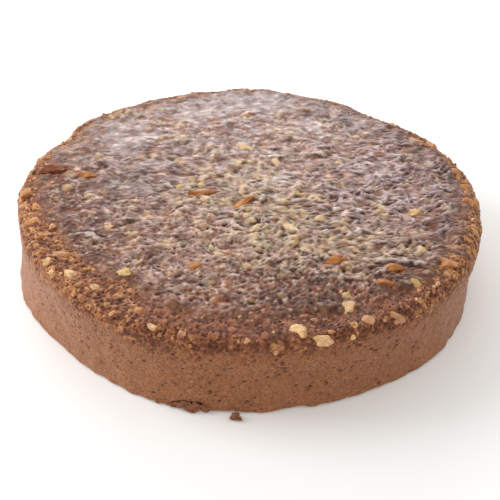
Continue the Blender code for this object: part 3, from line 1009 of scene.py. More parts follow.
def make_glaze(maps):
    """The glazed top with its nuts and folds, whose edge dips under the crumbly rim."""
    angle, out = disc_grid()
    from_middle = out * (around(angle, GLAZE_EDGES) * RIM_RADIUS + GLAZE_MARGIN)
    flat = unrolled(angle, from_middle)
    columns = (flat[:, 0] + TOP_MAP_REACH) / MAP_PIXEL
    rows = (flat[:, 1] + TOP_MAP_REACH) / MAP_PIXEL
    relief, colour, gloss = [sample(field, rows, columns) for field in maps]
    beyond = from_middle - glaze_edge(angle, flat)
    level = mix(GLAZE_PROUD, -GLAZE_SUNK, smooth(-GLAZE_FADE, GLAZE_FADE, beyond))
    thin = smooth(-2 * GLAZE_FADE, 0.0, beyond)
    colour = mix(colour, RIM_MAUVE, THIN_MAUVE * thin[:, None])
    points = cake_points(angle, SECTION_END - from_middle, relief + level)

    across = GLAZE_COLUMNS + 1
    corner = (np.arange(GLAZE_ROWS)[:, None] * across + np.arange(GLAZE_COLUMNS)[None, :]).ravel()
    faces = np.stack([corner, corner + 1, corner + across + 1, corner + across], axis=1).tolist()
    ring = boundary_ring()
    points, colour, lower = drop_ring(points, colour, ring, FLAT_HEIGHT)
    faces += ring_strip(lower, np.array(ring))
    faces.append(lower[::-1].tolist())
    gloss = np.concatenate([gloss * (1 - THIN_GLOSS * thin), np.zeros(len(ring))])
    piece = add_mesh("glaze", points, faces, colour, gloss, flat_faces=len(ring) + 1)
    disc = np.stack([out * np.cos(angle), out * np.sin(angle)], axis=1)
    shares = np.concatenate([UV_DISC_RADIUS * disc, UV_DISC_RADIUS * disc[ring] * UV_SKIRT_GROWTH])
    lay_uv(piece.data, (0.5 + shares)[corner_points(piece.data)])
    return piece


def disc_grid():
    """Angle and share of the way out for each point of a square grid bent into a disc."""
    a, b = np.meshgrid(np.linspace(-1, 1, GLAZE_COLUMNS + 1), np.linspace(-1, 1, GLAZE_ROWS + 1))
    a = a.ravel()
    b = b.ravel()
    wide = np.abs(a) >= np.abs(b)
    with np.errstate(divide="ignore", invalid="ignore"):
        angle = np.where(wide, pi / 4 * b / a, pi / 2 - pi / 4 * a / b)
    angle = np.where(np.isfinite(angle), angle, 0.0)
    backwards = np.where(wide, a < 0, b < 0)
    return angle + pi * backwards, np.maximum(np.abs(a), np.abs(b))


def boundary_ring():
    """Point numbers round the edge of the glaze's grid, anticlockwise from above."""
    across = GLAZE_COLUMNS + 1
    ring = list(range(GLAZE_COLUMNS))
    ring += [row * across + GLAZE_COLUMNS for row in range(GLAZE_ROWS)]
    ring += [GLAZE_ROWS * across + column for column in range(GLAZE_COLUMNS, 0, -1)]
    ring += [row * across for row in range(GLAZE_ROWS, 0, -1)]
    return ring


def corner_points(mesh):
    """Point number at each corner of a mesh's faces."""
    corners = np.zeros(len(mesh.loops), int)
    mesh.loops.foreach_get("vertex_index", corners)
    return corners


def lay_uv(mesh, uv):
    """Flatten a mesh by a UV coordinate for each corner of its faces."""
    layer = mesh.uv_layers.new(name="OFBake")
    layer.data.foreach_set("uv", uv.astype(np.float32).ravel())


def side_grid(side, columns, alongs):
    """Angle, length along the section, relief and colour of points on rings round the cake."""
    angle = np.tile(np.arange(columns) * tau / columns, len(alongs))
    along = np.concatenate([np.broadcast_to(row, columns) for row in alongs])
    relief, colour = [sample(field, *side_place(angle, along)) for field in side]
    return angle, along, relief, colour


def ring_stack(rows, columns):
    """Point numbers of rings that stand on one another, and the quads between them."""
    rings = np.arange(rows + 1)[:, None] * columns + np.arange(columns)[None, :]
    faces = []
    for lower, upper in zip(rings, rings[1:]):
        faces += ring_strip(lower, upper)
    return rings, faces


def make_rim(side):
    """The crumbly rim: a ring from high on the wall, over the shoulder and in under the glaze."""
    turn = np.arange(RIM_COLUMNS) * tau / RIM_COLUMNS
    inner = np.minimum(around(turn, GLAZE_EDGES) * RIM_RADIUS, TOP_EDGE) - 2 * GLAZE_FADE
    first = SEAM - SEAM_OVERLAP
    last = SECTION_END - inner
    alongs = [mix(first, last, row / RIM_ROWS) for row in range(RIM_ROWS + 1)]
    angle, along, relief, colour = side_grid(side, RIM_COLUMNS, alongs)
    from_middle = SECTION_END - along
    under = smooth(*RIM_UNDER_SPAN, from_middle - glaze_edge(angle, unrolled(angle, from_middle)))
    sunk = RIM_SUNK * smooth(SEAM, RIM_END, along)
    dip = SEAM_DIP * np.maximum(SEAM - along, 0)
    points = cake_points(angle, along, relief - sunk - dip - RIM_UNDER_SUNK * under)

    rings, faces = ring_stack(RIM_ROWS, RIM_COLUMNS)
    points, colour, low = drop_ring(points, colour, rings[-1], points[rings[0], 2].min())
    faces += ring_strip(rings[-1], low)
    faces += ring_strip(low, rings[0])
    piece = add_mesh("crumb_rim", points, faces, colour, np.zeros(len(points)), 2 * RIM_COLUMNS)
    share = (along - first) / np.tile(last - first, RIM_ROWS + 1) * UV_RIM_SHARE
    share = np.concatenate([share, np.full(RIM_COLUMNS, 1.0)])
    add_strip_uv(piece, np.concatenate([angle, turn]), share)
    return piece


def make_sponge(side):
    """The wall and the base of the cake, up to where the rim takes over."""
    alongs = np.linspace(0, SEAM + SEAM_OVERLAP, WALL_ROWS + 1)
    angle, along, relief, colour = side_grid(side, WALL_COLUMNS, alongs)
    foot_places = unrolled(angle, np.full(len(angle), FOOT_RADIUS))
    uneven = smooth(FOOT_EDGE, 0.0, along) * FOOT_BUMP[0] * noise_at(foot_places, FOOT_BUMP[1])
    relief = relief * smooth(0.0, FOOT_CALM, along) + uneven
    dip = SEAM_DIP * np.maximum(along - SEAM, 0)
    points = cake_points(angle, along, relief - dip)
    carve_gap(points)
    rings, faces = ring_stack(WALL_ROWS, WALL_COLUMNS)
    faces.append(rings[-1].tolist())
    faces.append(rings[0][::-1].tolist())
    piece = add_mesh("sponge", points, faces, colour, np.zeros(len(points)), 2)
    add_strip_uv(piece, angle, along / alongs[-1])
    return piece


def carve_gap(points):
    """Push the points in the broken place at the foot back into the cake."""
    angle = np.arctan2(points[:, 1], points[:, 0])
    radius = np.hypot(points[:, 0], points[:, 1])
    outline = FOOT_RADIUS * outline_factor(np.full(1, GAP_ANGLE), np.full(1, GAP_HEIGHT))[0]
    lengthways = ((angle - GAP_ANGLE + pi) % tau - pi) * outline / GAP_HALF_SIZE[0]
    upwards = (points[:, 2] - GAP_HEIGHT) / GAP_HALF_SIZE[2]
    inside = 1 - lengthways**2 - upwards**2
    uneven = 1 + GAP_BUMP[0] * noise_at(points, GAP_BUMP[1])
    depth = GAP_HALF_SIZE[1] * np.sqrt(np.clip(inside, 0, 1)) * uneven
    carved = np.where(inside > 0, np.minimum(radius, outline - depth), radius)
    points[:, :2] *= (carved / radius)[:, None]


def add_strip_uv(piece, angle, share):
    """Flatten a ring into four strips, one for each quarter turn, with flat faces in a corner."""
    mesh = piece.data
    corners = corner_points(mesh)
    starts = np.zeros(len(mesh.polygons), int)
    counts = np.zeros(len(mesh.polygons), int)
    mesh.polygons.foreach_get("loop_start", starts)
    mesh.polygons.foreach_get("loop_total", counts)
    turned = angle / (tau / 4)
    first = np.repeat(np.minimum.reduceat(turned[corners], starts), counts)
    wraps = np.repeat(np.maximum.reduceat(turned[corners], starts), counts) - first > 2
    quarter = np.where(wraps, 3, np.floor(first + 1e-6))
    u = turned[corners] - quarter
    u = np.where(u < -0.5, u + 4, u)
    start, length = UV_STRIP_ACROSS
    lowest, step, width = UV_STRIP_UP
    uv = np.stack([start + length * u, lowest + step * quarter + width * share[corners]], axis=1)
    middle, step, radius = UV_FLAT_DISCS
    for number, face in enumerate([face for face in mesh.polygons if len(face.vertices) > 4]):
        loops = np.arange(face.loop_start, face.loop_start + face.loop_total)
        place = angle[corners[loops]]
        uv[loops, 0] = middle + step * number + radius * np.cos(place)
        uv[loops, 1] = middle + radius * np.sin(place)
    lay_uv(mesh, uv)


# ---- Loose pieces: walnuts and crumbs, each kind joined into one mesh ----

# Angle, distance out as a share of the rim's radius, length, width, direction and colour.
LARGE_WALNUTS = (
    (-77.4, 0.930, 0.0090, 0.0064, 115, "cream"), (-75.0, 0.965, 0.0060, 0.0052, 60, "gold"),
    (-72.6, 0.990, 0.0100, 0.0040, 5, "cream"), (-62.5, 0.860, 0.0096, 0.0078, 25, "cream"),
    (-60.3, 0.785, 0.0064, 0.0052, 70, "yellow"), (-60.1, 0.950, 0.0062, 0.0056, 70, "tan"),
    (-53.9, 0.985, 0.0066, 0.0044, 160, "tan"), (-41.2, 0.890, 0.0074, 0.0062, 100, "yellow"),
    (-28.3, 0.930, 0.0118, 0.0070, 20, "gold"), (-21.8, 0.900, 0.0078, 0.0044, 10, "tan"),
    (-11.2, 0.980, 0.0070, 0.0050, 100, "tan"), (1.7, 0.966, 0.0080, 0.0056, 30, "gold"),
    (9.0, 0.968, 0.0090, 0.0060, 80, "gold"), (16.0, 0.966, 0.0070, 0.0054, 60, "gold"),
    (29.9, 0.965, 0.0076, 0.0050, 120, "tan"), (34.5, 0.925, 0.0110, 0.0056, 140, "tan"),
    (-48.5, 0.803, 0.0100, 0.0056, 170, "amber"), (-40.5, 0.770, 0.0096, 0.0044, 8, "amber"),
    (-53.5, 0.585, 0.0100, 0.0056, 10, "amber"), (-6.7, 0.720, 0.0070, 0.0060, 40, "yellow"),
    (-110.9, 0.579, 0.0078, 0.0070, 60, "amber"), (-117.0, 0.100, 0.0150, 0.0044, 44, "amber"),
    (-177.2, 0.200, 0.0160, 0.0036, 15, "amber"), (172.0, 0.310, 0.0066, 0.0050, 0, "yellow"),
    (170.8, 0.866, 0.0142, 0.0090, 15, "dark"), (171.7, 0.725, 0.0120, 0.0060, 175, "amber"),
    (-153.7, 0.649, 0.0058, 0.0048, 20, "yellow"), (-128.3, 0.768, 0.0066, 0.0048, 5, "yellow"),
    (-178.0, 0.965, 0.0080, 0.0056, 80, "gold"), (-164.4, 0.930, 0.0078, 0.0060, 20, "gold"),
    (-158.1, 0.906, 0.0076, 0.0064, 60, "gold"), (-146.7, 0.876, 0.0100, 0.0056, 10, "tan"),
    (-146.3, 0.960, 0.0050, 0.0044, 90, "cream"), (-138.7, 0.924, 0.0062, 0.0056, 30, "cream"),
    (-130.1, 0.909, 0.0048, 0.0036, 30, "cream"), (-115.9, 0.918, 0.0058, 0.0054, 30, "gold"),
    (-110.9, 0.975, 0.0046, 0.0034, 150, "cream"), (-101.5, 0.988, 0.0050, 0.0034, 0, "gold"),
)
NUT_COLOURS = {
    "cream": srgb(220, 178, 130),
    "yellow": NUT_YELLOW,
    "pink": NUT_PINK,
    "tan": NUT_TAN,
    "brown": NUT_BROWN,
    "amber": NUT_AMBER,
    "dark": NUT_DARK,
    "gold": NUT_GOLD,
    "crumb": srgb(154, 98, 68),
}
NUT_SKIN = srgb(122, 70, 42)
NUT_TOAST_AND_SHADE = np.array((0.74, 0.60, 0.42))
RIM_KINDS = ("cream", "tan", "gold", "gold", "crumb")

# How many of the rim's nuts show, by angle. The others are the colour of the crumb.
RIM_NUT_SHARES = (
    (-170, 0.95), (-128, 0.8), (-112, 0.35), (-84, 0.3), (-66, 0.55), (-40, 0.6), (0, 0.7),
    (90, 0.7),
)
BOLD_KINDS = ("amber", "dark")
EVEN_KINDS = ("amber", "dark", "crumb")
PALE_KINDS = ("cream", "yellow", "cream", "tan", "pink", "yellow")
PLAIN_KINDS = ("brown", "brown", "pink", "tan", "brown", "pink", "yellow", "amber")

# Broken lumps: how far out the cuts lie, how fine the roughness is, and for each kind of lump the
# number of cuts and the strength of the roughness.
CUT_DEPTHS = (0.28, 0.44)
COARSE_ROUGHNESS = 3.0
FINE_ROUGHNESS = 2.5
FINE_SHARE = 0.5
WALNUT_CUTS = (5, 0.4)
CLUSTER_CUTS = (6, 0.35)
CHIP_CUTS = (7, 0.35)
CRUMB_CUTS = (2, 0.4)
FOOT_CUTS = (6, 0.7)

# Whole walnuts: room between them, growth, where the film ends, and for each state how deep they
# are sunk, as a share of their thickness, and their gloss.
WALNUT_GAP = 0.0010
WALNUT_GROWTH = 1.2
FILM_REACH = 0.84 * RIM_RADIUS
WALNUT_STATES = {"bold": (0.16, 0.2), "filmed": (0.34, 0.45), "plain": (0.24, 0.2)}

# A walnut of the rim shows as a row of bits: number, least share shown, sizes, spread along, across
# and up, and depths on the smooth and the crumbly rim.
CLUSTER = 6
CLUSTER_LEAST = 0.2
CLUSTER_SIZES = (0.3, 0.55)
CLUSTER_SPREAD = (0.8, 0.2, 0.1)
CLUSTER_DEPTHS = (0.20, 0.06)
RIM_NUT_GLOSS = 0.1

# Chips in the film and on the rim. On the rim a tilt below 0 lies inwards, by the inwards spread
# for each radian, and most of those well inside the film's edge are left out.
GLAZED_CHIPS = 90
RIM_CHIPS = 240
GLAZED_CHIP_LENGTHS = (0.0016, 0.0052)
RIM_CHIP_LENGTHS = (0.0020, 0.0054)
SMALL_BIAS = 1.8
CHIP_WIDTHS = (0.5, 0.9)
CHIP_THICKNESSES = (0.3, 0.55)
GLAZED_CHIP_DEPTHS = (0.35, 0.60)
RIM_CHIP_DEPTHS = (0.0, 0.25)
GLAZED_CHIP_GLOSS = 0.9
RIM_CHIP_TILTS = (-0.5, 1.25)
INWARDS_SPREAD = 0.024
FILM_INSIDE = 0.002
LEFT_OUT_ON_FILM = 0.85


def ico_sphere(subdivisions):
    """Points and triangles of an ico sphere one unit across."""
    bpy.ops.mesh.primitive_ico_sphere_add(subdivisions=subdivisions, radius=0.5)
    ball = bpy.context.object
    mesh = ball.data
    points = np.array([vertex.co[:] for vertex in mesh.vertices])
    faces = np.array([face.vertices[:] for face in mesh.polygons])
    bpy.data.objects.remove(ball)
    bpy.data.meshes.remove(mesh)
    return points, faces


def broken_lump(points, seed, cuts, roughness):
    """A lump one unit long: a ball cut by random planes into flat broken faces, then roughened."""
    random = Random(seed)
    made = points.copy()
    for _ in range(cuts):
        plane = Vector([random.uniform(-1, 1) for _ in range(3)]).normalized()
        beyond = np.clip(made @ np.array(plane) - random.uniform(*CUT_DEPTHS), 0, None)
        made -= beyond[:, None] * np.array(plane)[None, :]
    shift = Vector((random.uniform(0, 99), 0, 0))
    for number, point in enumerate(made):
        place = Vector(point) * COARSE_ROUGHNESS + shift
        uneven = noise.noise(place) + FINE_SHARE * noise.noise(FINE_ROUGHNESS * place)
        made[number] *= 1 + roughness * uneven
    return made


class PieceBin:
    """Collects many small shapes, to be joined into one mesh."""

    def __init__(self):
        self.shapes = []
        self.count = 0

    def add(self, points, faces, tint, gloss):
        """Take in one shape with its colour at each point."""
        tints = np.broadcast_to(tint, points.shape)
        self.shapes.append((points, faces + self.count, tints, np.full(len(points), gloss)))
        self.count += len(points)

    def make(self, name, smooth_below):
        """The joined mesh as one piece, smooth where its faces meet at less than an angle."""
        points, faces, tints, glosses = [np.concatenate(parts) for parts in zip(*self.shapes)]
        piece = add_mesh(name, points, faces.tolist(), tints, glosses)
        piece.data.set_sharp_from_angle(angle=smooth_below)
        return piece


def standing_on(normal):
    """Axes with Z along a normal and X as near the cake's own X, or its Y, as it can be."""
    nearest = Vector((1, 0, 0)) if abs(normal.x) < 0.7 else Vector((0, 1, 0))
    across = (nearest - normal * nearest.dot(normal)).normalized()
    return Matrix((across, normal.cross(across), normal)).transposed().to_4x4()


def place_lump(points, size, place, normal, turn, sunk):
    """A unit lump scaled, turned and set on the surface, sunk by a share of its thickness."""
    turned = standing_on(normal) @ Matrix.Rotation(turn, 4, "Z") @ Matrix.Diagonal((*size, 1.0))
    matrix = np.array(Matrix.Translation(place - normal * size[2] * sunk) @ turned)
    return points @ matrix[:3, :3].T + matrix[:3, 3]


def surface_tree(pieces):
    """The surface of several pieces but for their flat ends, for rays to meet."""
    points = []
    faces = []
    for piece in pieces:
        start = len(points)
        points += [vertex.co.copy() for vertex in piece.data.vertices]
        for face in piece.data.polygons:
            if len(face.vertices) < 5:
                faces.append([start + number for number in face.vertices])
    return BVHTree.FromPolygons(points, faces)


# A lump stands partly along the surface's own normal and partly along the ray that met it.
UPRIGHT_SHARE = 1.5


def surface_at(tree, angle, distance, tilt):
    """Point and normal of the top, met by a ray from outside. A tilt leans it over the rim."""
    outwards = Vector((cos(angle), sin(angle), 0.0))
    away = outwards * sin(tilt) + Vector((0.0, 0.0, cos(tilt)))
    aim = outwards * distance + Vector((0.0, 0.0, RIM_HEIGHT))
    place, normal, _, _ = tree.ray_cast(aim + away * RIM_RADIUS, -away)
    if place is None:
        raise RuntimeError("a lump has no place on the cake")
    return place, (normal + away * UPRIGHT_SHARE).normalized()


def large_walnuts():
    """The listed walnuts, as length, width, angle, distance, tilt, turn and colour."""
    pieces = []
    for angle, reach, length, width, turn, colour in LARGE_WALNUTS:
        distance = reach * RIM_RADIUS
        tilt = max(distance - TOP_EDGE, 0.0) / RIM_ROUNDING
        place = (radians(angle), min(distance, TOP_EDGE), tilt, radians(turn))
        pieces.append((length, width, *place, colour))
    return pieces


# Colours of a walnut: its toasted side, which leans downwards as painted shade, the toasted ends of bold
# kinds, mottling and skin. Noise is given as strength and spacing.
TOAST_AND_SHADE_RANGE = (-0.15, 0.40)
TOAST_AND_SHADE_NOISE = (0.12, 0.16)
TOAST_AND_SHADE_SHARE = 0.85
EVEN_SHARE = 0.4
ENDS_RANGE = (0.10, 0.42)
ENDS_NOISE = (0.30, 0.30)
NUT_MOTTLES = ((0.30, 0.14), (0.15, 0.06))
NUT_BRIGHTNESS = (0.88, 1.12)
SKIN_RANGE = (0.16, 0.36)
SKIN_SHARE = 0.5
SHADE_DOWN = -0.5
SKIN_DOWN = (-1.2, 0.0)

# Faces of the loose pieces that meet at less than these angles are shaded smooth.
WALNUT_CREASE = radians(32)
CRUMB_CREASE = radians(40)


def noise_on(points, strength, spacing):
    """Smooth noise of one strength at each point."""
    return strength * noise_at(points, spacing)


def nut_tint(shape, colour, random):
    """Colours of a walnut's points: pale broken flesh, toasted on a side that leans downwards as painted
    shade, with a browner skin on one side.
    """
    side = np.array((random.uniform(-1, 1), random.uniform(-1, 1), SHADE_DOWN))
    toast_and_shade = TOAST_AND_SHADE_SHARE * smooth(*TOAST_AND_SHADE_RANGE, shape @ side + noise_on(shape, *TOAST_AND_SHADE_NOISE))
    if colour in EVEN_KINDS:
        toast_and_shade *= EVEN_SHARE
    if colour in BOLD_KINDS:
        ends = np.abs(shape[:, 0]) + noise_on(shape, *ENDS_NOISE)
        toast_and_shade = np.maximum(toast_and_shade, smooth(*ENDS_RANGE, ends))
    mottled = 1 + sum(noise_on(shape, *layer) for layer in NUT_MOTTLES)
    shade = (mottled * random.uniform(*NUT_BRIGHTNESS))[:, None] * mix(1.0, NUT_TOAST_AND_SHADE, toast_and_shade[:, None])
    skin_side = [random.uniform(-1, 1), random.uniform(-1, 1), random.uniform(*SKIN_DOWN)]
    skin = SKIN_SHARE * smooth(*SKIN_RANGE, shape @ np.array(skin_side))
    return mix(NUT_COLOURS[colour] * shade, NUT_SKIN, skin[:, None])


def glazed_kind(place, looks):
    """A colour for a nut under the glaze, paler where the glaze is thin."""
    pale = patch_field(place.x, place.y, PALE_PATCHES)
    return looks.choice(PALE_KINDS if looks.random() < pale else PLAIN_KINDS)


def rim_kind(angle, looks):
    """A colour for a nut on the rim."""
    shown = looks.random() < around(angle, RIM_NUT_SHARES)
    return looks.choice(RIM_KINDS) if shown else "crumb"


def rim_spot(tree, angle, tilts, looks):
    """Point and normal at a random tilt on the rim, or nothing for most places on the film."""
    tilt = looks.uniform(*tilts)
    distance = TOP_EDGE + min(tilt, 0.0) * INWARDS_SPREAD
    filmed = distance < around(angle, GLAZE_EDGES) * RIM_RADIUS - FILM_INSIDE
    if filmed and looks.random() < LEFT_OUT_ON_FILM:
        return None
    return surface_at(tree, angle, distance, max(tilt, 0.0))


def add_walnut(pieces, ball, size, spot, turn, state, colour, looks):
    """One walnut that stands out of the top."""
    points, faces = ball
    sunk, gloss = WALNUT_STATES[state]
    shape = WALNUT_GROWTH * broken_lump(points, looks.random(), *WALNUT_CUTS)
    pieces.add(place_lump(shape, size, *spot, turn, sunk), faces, nut_tint(shape, colour, looks), gloss)


def add_cluster(pieces, ball, size, spot, turn, angle, tree, looks):
    """A row of small bits in place of one walnut of the rim, fuller where the rim is crumbly."""
    points, faces = ball
    crumbliness = around(angle, CRUMB_STRENGTHS)
    sunk = mix(*CLUSTER_DEPTHS, min(crumbliness, 1.0))
    length, width, thickness = CLUSTER_SPREAD
    for number in range(CLUSTER):
        if looks.random() > crumbliness + CLUSTER_LEAST:
            continue
        shape = broken_lump(points, looks.random(), *CLUSTER_CUTS) * looks.uniform(*CLUSTER_SIZES)
        along = (number / (CLUSTER - 1) - 0.5) * length
        beside = np.array([(along, looks.uniform(-width, width), looks.uniform(-thickness, thickness))])
        beside = Vector(place_lump(beside, size, *spot, turn, 0.0)[0])
        nearest, facing, _, _ = tree.find_nearest(beside)
        placed = place_lump(shape, size, nearest, (facing + spot[1]).normalized(), turn, sunk)
        pieces.add(placed, faces, nut_tint(shape, rim_kind(angle, looks), looks), RIM_NUT_GLOSS)


def add_chip(pieces, ball, glazed, tree, looks):
    """A small chip of walnut, at a random place in the film or on the rim."""
    points, faces = ball
    angle = looks.uniform(0, tau)
    if glazed:
        length = mix(*GLAZED_CHIP_LENGTHS, looks.random() ** SMALL_BIAS)
        distance = around(angle, GLAZE_EDGES) * RIM_RADIUS * sqrt(looks.random())
        spot = surface_at(tree, angle, min(distance, TOP_EDGE), 0.0)
        colour = glazed_kind(spot[0], looks)
        sunk = looks.uniform(*GLAZED_CHIP_DEPTHS)
    else:
        length = mix(*RIM_CHIP_LENGTHS, looks.random() ** SMALL_BIAS)
        spot = rim_spot(tree, angle, RIM_CHIP_TILTS, looks)
        if spot is None:
            return
        colour = rim_kind(angle, looks)
        sunk = looks.uniform(*RIM_CHIP_DEPTHS)
    shape = broken_lump(points, looks.random(), *CHIP_CUTS)
    size = (length, length * looks.uniform(*CHIP_WIDTHS), length * looks.uniform(*CHIP_THICKNESSES))
    placed = place_lump(shape, size, *spot, looks.uniform(0, pi), sunk)
    gloss = GLAZED_CHIP_GLOSS if glazed else RIM_NUT_GLOSS
    pieces.add(placed, faces, nut_tint(shape, colour, looks), gloss)


def make_walnuts(tree):
    """All the walnuts that stand out of the top and the rim."""
    looks = Random(WALNUT_LOOKS_SEED)
    ball = ico_sphere(3)
    small_ball = ico_sphere(2)
    taken = []
    pieces = PieceBin()
    for length, width, angle, distance, tilt, turn, colour in large_walnuts() + scattered_walnuts():
        if colour == "glazed":
            continue
        spot = surface_at(tree, angle, distance, tilt)
        room = (length + width) / 4
        if any((spot[0] - other).length < room + kept + WALNUT_GAP for other, kept in taken):
            continue
        taken.append((spot[0], room))
        size = (length, width, width * WALNUT_THICKNESS_SHARE)
        if colour == "rim":
            add_cluster(pieces, small_ball, size, spot, turn, angle, tree, looks)
        elif colour in BOLD_KINDS:
            add_walnut(pieces, ball, size, spot, turn, "bold", colour, looks)
        else:
            state = "filmed" if distance < FILM_REACH else "plain"
            add_walnut(pieces, ball, size, spot, turn, state, colour, looks)
    for number in range(GLAZED_CHIPS + RIM_CHIPS):
        add_chip(pieces, small_ball, number < GLAZED_CHIPS, tree, looks)
    return pieces.make("walnut_pieces", WALNUT_CREASE)


# The lumps at the foot: angle, distance from the middle, and size.
FOOT_LUMPS = (
    (-102.6, 0.1196, (0.0086, 0.0066, 0.0050)),
    (-100.2, 0.1198, (0.0078, 0.0060, 0.0044)),
    (-98.0, 0.1196, (0.0060, 0.0050, 0.0042)),
    (-105.6, 0.1200, (0.0052, 0.0050, 0.0030)),
    (-108.6, 0.1204, (0.0040, 0.0036, 0.0030)),
    (-101.2, 0.1216, (0.0044, 0.0034, 0.0024)),
    (-91.5, 0.1236, (0.0050, 0.0040, 0.0036)),
    (-90.4, 0.1245, (0.0026, 0.0022, 0.0020)),
)
FOOT_LUMP_MOTTLE = (0.5, 0.0012)
FOOT_LUMP_CLEARANCE = 0.0001

# Crumbs on the rim. They are golden where it is crumbly.
LOOSE_CRUMBS = 1000
CRUMB_TILTS = (-0.55, 1.5)
CRUMB_LENGTHS = (0.0007, 0.0024)
CRUMB_WIDTHS = (0.6, 0.95)
CRUMB_THICKNESSES = (0.55, 0.85)
GOLDEN_BIAS = 1.5
GOLDEN_STRENGTH = 1.2
CRUMB_BRIGHTNESS = (0.85, 1.15)
CRUMB_DEPTH = 0.15


def make_crumbs(tree):
    """Crumbs on the rim, lumps in the broken foot, and one that lies in front of it."""
    looks = Random(CRUMB_LOOKS_SEED)
    foot_looks = Random(FOOT_LOOKS_SEED)
    ball, faces = ico_sphere(1)
    fine_ball, fine_faces = ico_sphere(3)
    pieces = PieceBin()
    for _ in range(LOOSE_CRUMBS):
        angle = looks.uniform(0, tau)
        crumbliness = around(angle, CRUMB_STRENGTHS)
        if looks.random() > crumbliness:
            continue
        spot = rim_spot(tree, angle, CRUMB_TILTS, looks)
        if spot is None:
            continue
        shape = broken_lump(ball, looks.random(), *CRUMB_CUTS)
        length = mix(*CRUMB_LENGTHS, looks.random() ** SMALL_BIAS)
        size = (length, length * looks.uniform(*CRUMB_WIDTHS), length * looks.uniform(*CRUMB_THICKNESSES))
        golden = looks.random() ** GOLDEN_BIAS * crumbliness / GOLDEN_STRENGTH
        tint = mix(mix(RIM_BROWN, RIM_MAUVE, around(angle, FILM_TRACES)), RIM_GOLD, golden)
        tint = tint * looks.uniform(*CRUMB_BRIGHTNESS)
        points = place_lump(shape, size, *spot, looks.uniform(0, pi), CRUMB_DEPTH)
        pieces.add(points, faces, tint, 0.0)
    for angle, radius, size in FOOT_LUMPS:
        turn = radians(angle)
        shape = broken_lump(fine_ball, foot_looks.random(), *FOOT_CUTS)
        place = Vector((radius * cos(turn), radius * sin(turn), size[2] / 2 + FOOT_LUMP_CLEARANCE))
        points = place_lump(shape, size, place, Vector((0, 0, 1)), turn + pi / 2, 0.0)
        points[:, 2] = np.maximum(points[:, 2], 0.0)
        shade = 1 + noise_on(points, *FOOT_LUMP_MOTTLE)[:, None]
        pieces.add(points, fine_faces, mix(WALL_DARK, WALL, 0.5) * shade, 0.0)
    return pieces.make("crumbs", CRUMB_CREASE)


# ---- Materials ----

# The film's finest creases: a pale painted highlight along each where the glaze is glossy, and drawn out
# across the cake.
CREASE_HIGHLIGHT = srgb(196, 168, 148)
CREASE_STRETCH = (0.7, 1.3, 1.0)


class NodeMaker:
    """Adds nodes to a material and links them."""

    def __init__(self, name):
        self.material = bpy.data.materials.new(name)
        self.material.use_nodes = True
        self.tree = self.material.node_tree
        self.shader = self.tree.nodes["Principled BSDF"]

    def node(self, kind, values=None, links=None, **settings):
        """One node, with its settings, its sockets' values and what is linked into them."""
        made = self.tree.nodes.new(kind)
        for key, value in settings.items():
            setattr(made, key, value)
        for key, value in (values or {}).items():
            made.inputs[key].default_value = value
        for key, source in (links or {}).items():
            self.tree.links.new(source, made.inputs[key])
        return made

    def link(self, source, socket):
        """Link a node's output to one of the shader's sockets."""
        self.tree.links.new(source, self.shader.inputs[socket])

    def set(self, **values):
        """Values that are the same all over, set on the shader's own sockets."""
        for key, value in values.items():
            self.shader.inputs[key.replace("_", " ")].default_value = value

    def ramp(self, source, low, high, low_value=0.0, high_value=1.0):
        """A number mapped from one range to another, and kept inside it."""
        values = {"From Min": low, "From Max": high, "To Min": low_value, "To Max": high_value}
        made = self.node("ShaderNodeMapRange", values, {"Value": source})
        return made.outputs["Result"]

    def mixed(self, factor, first, second):
        """A colour between a linked one and a fixed one, by a linked number."""
        made = self.node("ShaderNodeMix", {7: second}, {0: factor, 6: first}, data_type="RGBA")
        return made.outputs[2]

    def attribute(self, name, output):
        """One of the mesh's own attributes."""
        return self.node("ShaderNodeAttribute", attribute_name=name).outputs[output]

    def scaled(self, colour, factor):
        """A linked colour made lighter or darker by a linked number."""
        made = self.node("ShaderNodeVectorMath", {}, {0: colour, "Scale": factor}, operation="SCALE")
        return made.outputs[0]

    def maths(self, operation, *terms):
        """The result of an operation on linked and fixed numbers."""
        fixed = {place: term for place, term in enumerate(terms) if isinstance(term, float)}
        linked = {place: term for place, term in enumerate(terms) if place not in fixed}
        return self.node("ShaderNodeMath", fixed, linked, operation=operation).outputs[0]

    def noise(self, where, **values):
        """The strength of a noise texture at linked places."""
        return self.node("ShaderNodeTexNoise", values, {"Vector": where}).outputs["Fac"]

    def bumped(self, height, strength, distance):
        """The normal of a surface made bumpy by a linked height."""
        values = {"Strength": strength, "Distance": distance}
        return self.node("ShaderNodeBump", values, {"Height": height}).outputs["Normal"]


def food_material(name, grain, pores, roughness, bump):
    """Baked crumb: painted colour with fine grain, tiny pores painted dark as shade, and a matt, bumpy
    surface.
    """
    made = NodeMaker(name)
    where = made.node("ShaderNodeTexCoord").outputs["Object"]
    speckle = made.noise(where, Scale=1000.0, Detail=3.0)
    light = made.ramp(speckle, 0.35, 0.65, 1 - grain, 1 + grain)
    grained = made.scaled(made.attribute("tint", "Color"), light)
    cells = made.node("ShaderNodeTexVoronoi", {"Scale": 760.0, "Randomness": 1.0}, {"Vector": where})
    chance = made.node("ShaderNodeSeparateColor", {}, {"Color": cells.outputs["Color"]})
    small = made.ramp(chance.outputs["Red"], 0.50, 1.0, 0.0, 0.42)
    hole = made.ramp(made.maths("SUBTRACT", small, cells.outputs["Distance"]), 0.0, 0.10)
    holes = made.maths("MULTIPLY", hole, pores)
    # The pores are painted in the dark pore colour, as the shade inside them.
    made.link(made.mixed(holes, grained, (*PORE_SHADE, 1.0)), "Base Color")
    made.link(made.ramp(speckle, 0.3, 0.7, roughness - 0.08, roughness + 0.08), "Roughness")
    lift = made.maths("MULTIPLY_ADD", holes, -1.2, speckle)
    made.link(made.bumped(lift, bump, 0.0004), "Normal")
    made.set(Specular_IOR_Level=0.35, Sheen_Weight=0.22, Sheen_Roughness=0.45)
    return made.material


